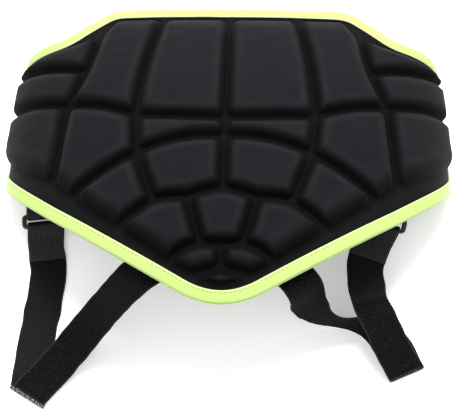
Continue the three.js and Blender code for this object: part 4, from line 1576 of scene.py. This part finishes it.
@dataclass
class ThighLoop:
    """One thigh loop: its strap, its buckle and the tab that holds the buckle inside the wing.

    Attributes:
        arch: The form of the pad.
        loop: How the loop lies.
        webbing: The webbing's sizes.
        buckle: The buckle's sizes.
        twist_shares: Where the tab's twist is set out, as shares of the way to the hollow face.
        easing: How many times the run to the pad is evened out.
    """

    arch: Arch
    loop: Loop
    webbing: WebbingSizes = field(default_factory=WebbingSizes)
    buckle: BuckleSizes = field(default_factory=BuckleSizes)
    twist_shares: tuple[float, ...] = (0.3, 0.6, 0.85)
    easing: int = 90

    @property
    def wrap_radius(self) -> float:
        """From a bar's centre to the middle of the webbing round it."""
        reach = math.hypot(self.buckle.bar / 2, (self.buckle.thickness - self.buckle.bevel) / 2)
        return reach + (self.webbing.gap + self.webbing.thickness) / 2

    @cached_property
    def frame(self) -> BuckleFrame:
        """The buckle's directions and bars."""
        across, along_share, height, turn, pitch = self.loop.buckle
        along = level_direction(turn)
        level = np.array([-along[1], along[0], 0.0])
        towards_tab = level * math.cos(math.radians(pitch)) + np.array([0, 0, math.sin(math.radians(pitch))])
        lower_bar = self._place(
            across, along_share, self.webbing.thickness / 2 + self.wrap_radius + height * self.webbing.width
        )
        upper_bar = lower_bar + towards_tab * self.buckle.pitch
        return BuckleFrame(along, towards_tab, np.cross(along, towards_tab), lower_bar, upper_bar)

    def _place(self, across: float, along: float, height: float) -> np.ndarray:
        """A point from shares of the half width and the pad's length."""
        ahead = along * self.arch.pad_length + self.arch.shift
        return np.array([across * self.arch.half_width, ahead, height])

    def _in_pattern(self, place: tuple[float, float]) -> np.ndarray:
        """A place in the pattern from shares of the half girth and the pad's length."""
        return np.array([place[0] * self.arch.half_girth, place[1] * self.arch.pad_length])

    def _smooth_run(self, chosen: Sequence[Station]) -> list[Station]:
        """Close stations through a few chosen ones."""
        centres = np.array([station.centre for station in chosen])
        rulings = np.array([station.ruling for station in chosen])
        gaps = np.linalg.norm(np.diff(centres, axis=0), axis=1)
        pieces = [max(1, round(gap / self.webbing.run_step)) for gap in gaps]
        runs = zip(curve_through(centres, pieces), unit(curve_through(rulings, pieces)))
        return [*(Station(centre, ruling) for centre, ruling in runs), chosen[-1]]

    def _eased(self, run: Sequence[Station]) -> list[Station]:
        """A run whose bends and turns are evened out between its two ends."""
        centres = np.array([station.centre for station in run])
        rulings = np.array([station.ruling for station in run])
        for _ in range(self.easing):
            for line in (centres, rulings):
                line[1:-1] = line[1:-1] / 2 + (line[:-2] + line[2:]) / 4
        rulings = unit(rulings)
        return [Station(c, r, station.half_width) for c, r, station in zip(centres, rulings, run)]

    def _table_run(
        self, start: np.ndarray, end: np.ndarray, rows: Sequence[Row], unit_height: float
    ) -> list[Station]:
        """Stations from a table of shares.

        Args:
            start: Where the run comes from.
            end: Where it goes.
            rows: The table.
            unit_height: What a height of 1 means.

        Returns:
            A station a row, whose width is square to the run unless a bearing is given.
        """
        centres = []
        for row in rows:
            roll = math.radians(row.roll)
            lying = self.webbing.thickness / 2 * math.cos(roll)
            standing = self.webbing.width / 2 * abs(math.sin(roll))
            centres.append(self._place(row.across, row.along, lying + standing + row.height * unit_height))
        line = [start, *centres, end]
        stations = []
        for i, row in enumerate(rows):
            heading = line[i + 2] - line[i]
            square = math.degrees(math.atan2(heading[0], -heading[1]))
            bearing = square if row.bearing is None else row.bearing
            ruling = level_direction(bearing) * math.cos(math.radians(row.roll))
            ruling[2] = math.sin(math.radians(row.roll))
            stations.append(Station(centres[i], ruling))
        return stations

    def _sewn_station(self, place: np.ndarray, towards: np.ndarray, lift: float) -> Station:
        """A station on the pad's hollow face, from its place in the pattern and the place it heads for."""
        heading = unit(towards - place)
        sideways = np.array([-heading[1], heading[0]]) * self.webbing.width / 2
        a = self.arch.surface(place + sideways, -lift)
        b = self.arch.surface(place - sideways, -lift)
        return Station((a + b) / 2, unit(a - b))

    def strap_stations(self) -> list[Station]:
        """The strap from its hem over the lower bar, along the fold and back under the pad."""
        sizes, frame = self.webbing, self.frame
        bar_under = frame.lower_bar - frame.up * self.wrap_radius
        across, along, turn = self.loop.fold
        fold_line = level_direction(turn)
        out_of_fold = np.array([fold_line[1], -fold_line[0], 0.0])
        axis = self._place(across, along, (sizes.thickness + sizes.ply_pitch) / 2)
        axis -= out_of_fold * (sizes.ply_pitch + sizes.thickness) / 2
        from_side = np.array([0, 0, 1.0 if self.loop.run_a_on_top else -1.0])
        fold = half_turn(axis, fold_line, from_side, out_of_fold, sizes.ply_pitch / 2, sizes.turn_points)

        table = self._table_run(bar_under, fold[0].centre, self.loop.buckle_run, sizes.width)
        chosen = [Station(bar_under, frame.along), *turned_alike(table, frame.along), fold[0]]
        run_a = self._smooth_run(chosen)
        arriving = unit(run_a[-1].centre - run_a[-6].centre)
        for station in fold:
            station.half_width = sizes.width / 2 / float(np.linalg.norm(np.cross(fold_line, arriving)))

        wrap = half_turn(
            frame.lower_bar, frame.along, frame.up, frame.towards_tab, self.wrap_radius, sizes.turn_points
        )
        seat = sizes.gap + sizes.tape_thickness + sizes.seat_clearance + sizes.thickness / 2
        near, far = (self._in_pattern(place) for place in self.loop.sewn)
        outside = near - unit(far - near) * sizes.width * sizes.exit_reach
        sewn = [
            self._sewn_station(outside, near, seat + sizes.width * sizes.exit_drop),
            self._sewn_station(near, far, seat),
            self._sewn_station(far, near, seat),
        ]
        exit_at = sewn[0].centre
        back = self._table_run(fold[-1].centre, exit_at, self.loop.pad_run, exit_at[2])
        chosen = [fold[-1], *turned_alike(back, fold_line), *turned_alike(sewn, frame.along)]
        run_b = self._eased(self._smooth_run(chosen))
        return [*self._hem_over(run_a), *wrap, *run_a[1:], *fold[1:], *run_b[1:]]

    def _hem_over(self, run: Sequence[Station]) -> list[Station]:
        """The webbing's end, laid back over the run below it."""
        sizes = self.webbing
        centres = np.array([station.centre for station in run])
        rulings = np.array([station.ruling for station in run])
        travelled = lengths_along(centres)
        count = round(sizes.hem_length / sizes.run_step)
        distances = sizes.hem_length * (1 - np.arange(count) / count)
        below = np.stack([np.interp(distances, travelled, centres[:, i]) for i in range(3)], axis=1)
        ruling = unit(np.stack([np.interp(distances, travelled, rulings[:, i]) for i in range(3)], axis=1))
        heading = unit(-np.gradient(below, axis=0))
        face = unit(np.cross(ruling, heading))
        face *= np.sign(face @ self.frame.up)[:, None]
        lying = smoothstep(distances, self.buckle.bar / 2 + sizes.gap, sizes.hem_fall * self.wrap_radius)
        height = 2 * self.wrap_radius + (sizes.ply_pitch - 2 * self.wrap_radius) * lying
        return [Station(c, r) for c, r in zip(below + face * height[:, None], ruling)]

    def tab_stations(self) -> list[Station]:
        """The tab from its tail round the buckle's upper bar to the pad's hollow face."""
        sizes, frame = self.webbing, self.frame
        wrap = half_turn(
            frame.upper_bar, frame.along, -frame.up, -frame.towards_tab, self.wrap_radius, sizes.turn_points
        )
        under = frame.upper_bar - frame.up * self.wrap_radius
        tail = [
            Station(under + frame.towards_tab * (sizes.tab_tail * share), frame.along)
            for share in np.linspace(1, 0.1, 7)
        ]
        near = self._in_pattern(self.loop.tab)
        far = near + np.array([0, sizes.sewn_length])
        seat = sizes.seat_clearance + sizes.thickness / 2
        sewn = turned_alike(
            [self._sewn_station(near, far, seat), self._sewn_station(far, near, seat)], frame.along
        )
        lift = frame.upper_bar + frame.up * self.wrap_radius
        leaving = lift + frame.towards_tab * sizes.tab_tail
        run = self._smooth_run(
            [
                Station(lift, frame.along),
                Station(leaving, frame.along),
                *self._twist(leaving, sewn[0], sewn[1]),
                *sewn,
            ]
        )
        return [*tail, *wrap, *run[1:]]

    def _twist(self, start: np.ndarray, seat: Station, beyond: Station) -> list[Station]:
        """Stations that twist on the way to the hollow face and keep clear of it."""
        inward = unit(np.cross(unit(beyond.centre - seat.centre), seat.ruling))
        if inward @ (start - seat.centre) < 0:
            inward = -inward
        stations = []
        for share in self.twist_shares:
            ruling = unit(self.frame.along + (seat.ruling - self.frame.along) * share)
            centre = start + (seat.centre - start) * share
            needed = self.webbing.width / 2 * abs(ruling @ inward) + self.webbing.thickness
            standing = (centre - seat.centre) @ inward
            stations.append(Station(centre + inward * max(0.0, needed - standing), ruling))
        return stations


@dataclass
class Ribbon:
    """Webbing along stations, as a closed body with rounded selvedges.

    Attributes:
        sizes: The webbing's sizes.
        columns: How many points lie across each face.
        ribs: How many lengthwise ribs the webbing has.
        rib_height: How far a rib stands up.
        curl: How far the selvedges wander.
        nap_height: How far the loop pile's lumps stand up.
        unevenness: How uneven the faces are.
        stretched_share: How much of the ribs is left where the webbing is stretched smooth.
        ribbed_share: How much is added where the ribs stand out.
    """

    sizes: WebbingSizes
    columns: int = 37
    ribs: int = 12
    rib_height: float = 0.1
    curl: float = 0.25
    nap_height: float = 0.16
    unevenness: float = 0.05
    stretched_share: float = 0.3
    ribbed_share: float = 0.9

    def surface(
        self,
        stations: Sequence[Station],
        ribbed_to: float,
        seed: int,
        piles: Sequence[tuple[float, float]] = (),
        hooks: float = 0.0,
    ) -> Surface:
        """Builds the webbing.

        Args:
            stations: Its stations in order.
            ribbed_to: How far from the start the ribs stand out.
            seed: The seed of its unevenness.
            piles: Stretches of loop pile, as distances from the start.
            hooks: How thickly the fold is set with hooks.

        Returns:
            The webbing's surface.
        """
        centres, rulings, faces, halves = self._rails(stations)
        travelled = lengths_along(centres)
        across = np.linspace(-1, 1, self.columns)
        pile = np.zeros(len(travelled))
        for low, high in piles:
            inside = smoothstep(travelled, low - 2, low + 2) * (1 - smoothstep(travelled, high, high + 2))
            pile = np.maximum(pile, inside)
        ribbed = 1 - smoothstep(travelled, ribbed_to - 1, ribbed_to + 1)
        standing = (1 - pile) * (self.stretched_share + self.ribbed_share * ribbed)
        ribbing = self.rib_height * np.cos(across * self.ribs * math.pi) * (1 - np.abs(across) ** 8)
        body = self.sizes.thickness / 2 * (1 - 0.55 * np.abs(across) ** 14)[None, :]
        nap = self.nap_height * self._nap(travelled, across * self.sizes.width / 2, seed + 1)
        upper = body + (ribbing[None, :] - self.rib_height) * standing[:, None] + pile[:, None] * nap
        upper = upper + self.unevenness * ripples(travelled[:, None], 9, seed)[:, None]
        lower = 0.5 * self.rib_height * (1 - np.abs(ribbing[None, :])) - body
        widths = halves + self.curl * ripples(travelled[:, None], 24, seed + 2) - self.curl
        top = self._laid(centres, rulings, faces, widths, across, upper)
        bottom = self._laid(centres, rulings, faces, widths, across[::-1], lower[:, ::-1])
        bulge = rulings * (widths + 0.25)[:, None]
        left, right = centres - bulge, centres + bulge
        ring = np.concatenate([left[:, None], top, right[:, None], bottom], axis=1)
        count = ring.shape[1]
        quads = strip_faces(len(ring), count, True, False)
        quads.append(list(range(count))[::-1])
        quads.append(list(range((len(ring) - 1) * count, len(ring) * count)))
        width = self.sizes.width / 2
        girth = np.concatenate([[-width], across * width, [width], across[::-1] * width])
        pattern = np.stack(np.broadcast_arrays(girth[None, :], travelled[:, None]), axis=-1)
        selvedge = (np.abs(girth) / width) ** 30
        return Surface(
            points=ring.reshape(-1, 3),
            faces=[quad[::-1] for quad in quads],
            pattern=pattern.reshape(-1, 2),
            values={
                "pile": np.repeat(pile, count),
                "ribbed": np.repeat(ribbed, count),
                "selvedge": np.tile(selvedge, len(ring)),
                "hooked": np.repeat([hooks * (station.half_width > 0) for station in stations], count),
            },
        )

    def _rails(self, stations: Sequence[Station]) -> tuple[np.ndarray, np.ndarray, np.ndarray, np.ndarray]:
        """The centres, rulings, face directions and half widths of the stations, kept above the floor."""
        centres = np.array([station.centre for station in stations])
        rulings = np.array([station.ruling for station in stations])
        steps = np.diff(centres, axis=0)
        headings = np.concatenate([steps[:1], centres[2:] - centres[:-2], steps[-1:]])
        crossed = np.cross(rulings, unit(headings))
        sizes = np.linalg.norm(crossed, axis=1)
        halves = self.sizes.width / 2 / np.maximum(sizes, 1 / self.sizes.most_widening)
        folded = np.array([station.half_width for station in stations])
        halves = np.where(folded > 0, folded, halves)
        faces = unit(crossed)
        lowest = halves * np.abs(rulings[:, 2]) + self.sizes.thickness / 2 * np.abs(faces[:, 2])
        centres[:, 2] = np.maximum(centres[:, 2], lowest)
        return centres, rulings, faces, halves

    @staticmethod
    def _laid(
        centres: np.ndarray,
        rulings: np.ndarray,
        faces: np.ndarray,
        widths: np.ndarray,
        across: np.ndarray,
        lift: np.ndarray,
    ) -> np.ndarray:
        """Points across each station, lifted off the webbing's middle."""
        sideways = rulings[:, None, :] * (widths[:, None] * across[None, :])[..., None]
        return centres[:, None, :] + sideways + faces[:, None, :] * lift[..., None]

    @staticmethod
    def _nap(travelled: np.ndarray, across: np.ndarray, seed: int) -> np.ndarray:
        """The lumps of loop pile over the webbing's face."""
        places = np.stack(np.broadcast_arrays(across[None, :], travelled[:, None]), axis=-1).reshape(-1, 2)
        return ripples(places, 3.2, seed, waves=14).reshape(len(travelled), len(across))


@dataclass
class Buckle:
    """A plastic loop with two bars, its edges rounded.

    Attributes:
        sizes: Its sizes.
        strap_width: The webbing's width.
        arc_points: How many steps a corner has.
        section_points: How many points there are round a bar.
        squareness: The power that squares a bar's round section, less for a squarer one.
    """

    sizes: BuckleSizes
    strap_width: float = 30.0
    arc_points: int = 8
    section_points: int = 16
    squareness: float = 0.5

    def surface(self, frame: BuckleFrame) -> Surface:
        """Builds the loop round the middle between its bars.

        Args:
            frame: Its directions and bars.

        Returns:
            The loop's surface.
        """
        half_x = (self.strap_width + self.sizes.slot_clearance + self.sizes.side) / 2
        half_y = self.sizes.pitch / 2
        radius = self.sizes.corner - self.sizes.side / 2
        path, normals = self._path(half_x, half_y, radius)
        is_bar = np.abs(normals[:, 1])
        half_bar = self.sizes.side / 2 + (self.sizes.bar - self.sizes.side) / 2 * is_bar
        angles = np.arange(self.section_points) * 2 * math.pi / self.section_points
        waves = np.cos(angles), np.sin(angles)
        out, high = (np.sign(wave) * np.abs(wave) ** self.squareness for wave in waves)
        middle = (frame.lower_bar + frame.upper_bar) / 2
        flat = path[:, None, :] + normals[:, None, :] * (half_bar[:, None] * out[None, :])[..., None]
        lift = np.broadcast_to(self.sizes.thickness / 2 * high, flat.shape[:2])
        points = (
            middle
            + flat[..., 0, None] * frame.along
            + flat[..., 1, None] * frame.towards_tab
            + lift[..., None] * frame.up
        )
        travelled = lengths_along(np.concatenate([path, path[:1]]))[:-1]
        pattern = np.stack(np.broadcast_arrays(travelled[:, None], (angles * 2)[None, :]), axis=-1)
        # The edge mask: the rounded edges of the bars and sides, where the scuffs and the painted edge
        # highlight lie.
        edge = np.tile(np.abs(np.sin(2 * angles)) ** 3, len(path))
        faces = strip_faces(len(path), self.section_points, True, True)
        return Surface(points.reshape(-1, 3), faces, pattern.reshape(-1, 2), {"edge": edge})

    def _path(self, half_x: float, half_y: float, radius: float) -> tuple[np.ndarray, np.ndarray]:
        """The middle line of the loop with round corners, and the way out of it."""
        points, normals = [], []
        for corner in range(4):
            start = 90 * corner
            centre_x = (half_x - radius) * (1 if corner in (0, 3) else -1)
            centre_y = (half_y - radius) * (1 if corner in (0, 1) else -1)
            for k in range(self.arc_points + 1):
                angle = math.radians(start + 90 * k / self.arc_points)
                normal = (math.cos(angle), math.sin(angle))
                points.append((centre_x + radius * normal[0], centre_y + radius * normal[1]))
                normals.append(normal)
        return np.array(points), np.array(normals)


# Stage


@dataclass(frozen=True)
class SoftLight:
    """A square soft light: its place and side in metres, and its power in watts."""

    name: str
    place: tuple[float, float, float]
    size: float
    power: float


@dataclass(frozen=True)
class Stage:
    """The floor, the light and the camera.

    Attributes:
        azimuth: The camera's bearing in degrees.
        elevation: Its height over the horizon in degrees.
        roll: Its roll in degrees.
        distance: How far it is from its target, in metres.
        target: What it looks at, in metres.
        focal_pixels: Its focal length in pixels of the photograph.
        picture_width: The photograph's width in pixels.
        sensor: The camera's sensor in millimetres.
        lights: The lights.
        surroundings: The strength of the light from all round.
        floor_reach: How far the floor reaches, in metres.
        floor_drop: How far it lies under the pad, in metres.
    """

    azimuth: float = 6.5
    elevation: float = 72.0
    roll: float = -5.5
    distance: float = 1.1
    target: tuple[float, float, float] = (0.0062, -0.0137, 0.050)
    focal_pixels: float = 1375.0
    picture_width: float = 466.0
    sensor: float = 36.0
    lights: tuple[SoftLight, ...] = (
        SoftLight("key", (0.1, 0.95, 1.55), 0.8, 72.0),
        SoftLight("fill", (-0.5, -1.2, 1.3), 1.6, 2.0),
    )
    surroundings: float = 0.95
    floor_reach: float = 6.0
    floor_drop: float = 0.0004

    def build(self, paper: bpy.types.Material) -> None:
        """Makes the floor, the lights and the camera."""
        self._floor(paper)
        for light in self.lights:
            self._light(light)
        self._surroundings()
        self._camera()

    def _floor(self, paper: bpy.types.Material) -> None:
        """A broad floor just under the pad."""
        reach = self.floor_reach
        corners = [(-reach, -reach), (reach, -reach), (reach, reach), (-reach, reach)]
        mesh = bpy.data.meshes.new("floor")
        mesh.from_pydata([(*corner, -self.floor_drop) for corner in corners], [], [[0, 1, 2, 3]])
        mesh.materials.append(paper)
        made = bpy.data.objects.new("floor", mesh)
        bpy.context.scene.collection.objects.link(made)

    @staticmethod
    def _look(place: np.ndarray, target: np.ndarray) -> Matrix:
        """A turn that points -Z from a place to a target, with +Y towards +Y."""
        back = unit(place - target)
        right = unit(np.cross(np.array([0.0, 1.0, 0.0]), back))
        return Matrix(np.stack([right, np.cross(back, right), back], axis=1).tolist())

    def _light(self, light: SoftLight) -> None:
        """Makes a light that shines on the pad."""
        data = bpy.data.lights.new(light.name, "AREA")
        data.size = light.size
        data.energy = light.power
        made = bpy.data.objects.new(light.name, data)
        bpy.context.scene.collection.objects.link(made)
        turn = self._look(np.array(light.place), np.array(self.target))
        made.matrix_world = Matrix.Translation(light.place) @ turn.to_4x4()

    def _surroundings(self) -> None:
        """Even white light from all round."""
        world = bpy.data.worlds.new("surroundings")
        world.use_nodes = True
        background = world.node_tree.nodes["Background"]
        background.inputs["Color"].default_value = (1, 1, 1, 1)
        background.inputs["Strength"].default_value = self.surroundings
        bpy.context.scene.world = world
        bpy.context.scene.view_settings.view_transform = "Standard"

    def _camera(self) -> None:
        """The camera at the photograph's angle."""
        a, e, r = (math.radians(angle) for angle in (self.azimuth, self.elevation, self.roll))
        back = np.array([math.sin(a) * math.cos(e), -math.cos(a) * math.cos(e), math.sin(e)])
        up = np.array([-math.sin(a) * math.sin(e), math.cos(a) * math.sin(e), math.cos(e)])
        right = np.cross(up, back)
        rolled_right = right * math.cos(r) + up * math.sin(r)
        rolled_up = up * math.cos(r) - right * math.sin(r)
        data = bpy.data.cameras.new("camera")
        data.sensor_width = self.sensor
        data.lens = self.focal_pixels / self.picture_width * self.sensor
        data.clip_start, data.clip_end = 0.05, 20.0
        made = bpy.data.objects.new("camera", data)
        bpy.context.scene.collection.objects.link(made)
        turn = Matrix(np.stack([rolled_right, rolled_up, back], axis=1).tolist()).to_4x4()
        made.matrix_world = Matrix.Translation(np.array(self.target) + back * self.distance) @ turn
        bpy.context.scene.camera = made


def main() -> None:
    """Builds every sub-assembly, dresses it and reports it."""
    logging.basicConfig(level=logging.INFO, format="%(name)s: %(message)s")
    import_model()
    arch = Arch()
    pattern = Pattern(arch)
    MouldedPad(arch, pattern).build(PadFabric().material(), LiningFabric().material())
    tape_thread = ThreadFinish("tape_thread", (0.40, 0.47, 0.18, 1), (0.30, 0.40, 0.11, 1)).material()
    EdgeBinding(arch, pattern).build(EdgeTapeFinish().material(), tape_thread)

    webbing, plastic = WebbingFinish().material(), BucklePlastic().material()
    for number, loop in enumerate(LOOPS):
        thigh, side = ThighLoop(arch, loop), loop.side.value
        ribbon, hem = Ribbon(thigh.webbing), thigh.webbing.hem_length
        strap = ribbon.surface(thigh.strap_stations(), hem, 20 + 5 * number, loop.piles, loop.hooks)
        strap.piece(f"strap_{side}", webbing, Slot.WEBBING, [f"thigh_strap_{side}"])
        tab = ribbon.surface(thigh.tab_stations(), hem, 40 + 5 * number)
        tab.piece(f"tab_{side}", webbing, Slot.WEBBING, [f"buckle_tab_{side}"])
        buckle = Buckle(thigh.buckle).surface(thigh.frame)
        buckle.piece(f"buckle_{side}", plastic, Slot.BUCKLE_PLASTIC, [f"strap_buckle_{side}"])
    Stage().build(FloorPaper().material())


if __name__ == "__main__":
    main()
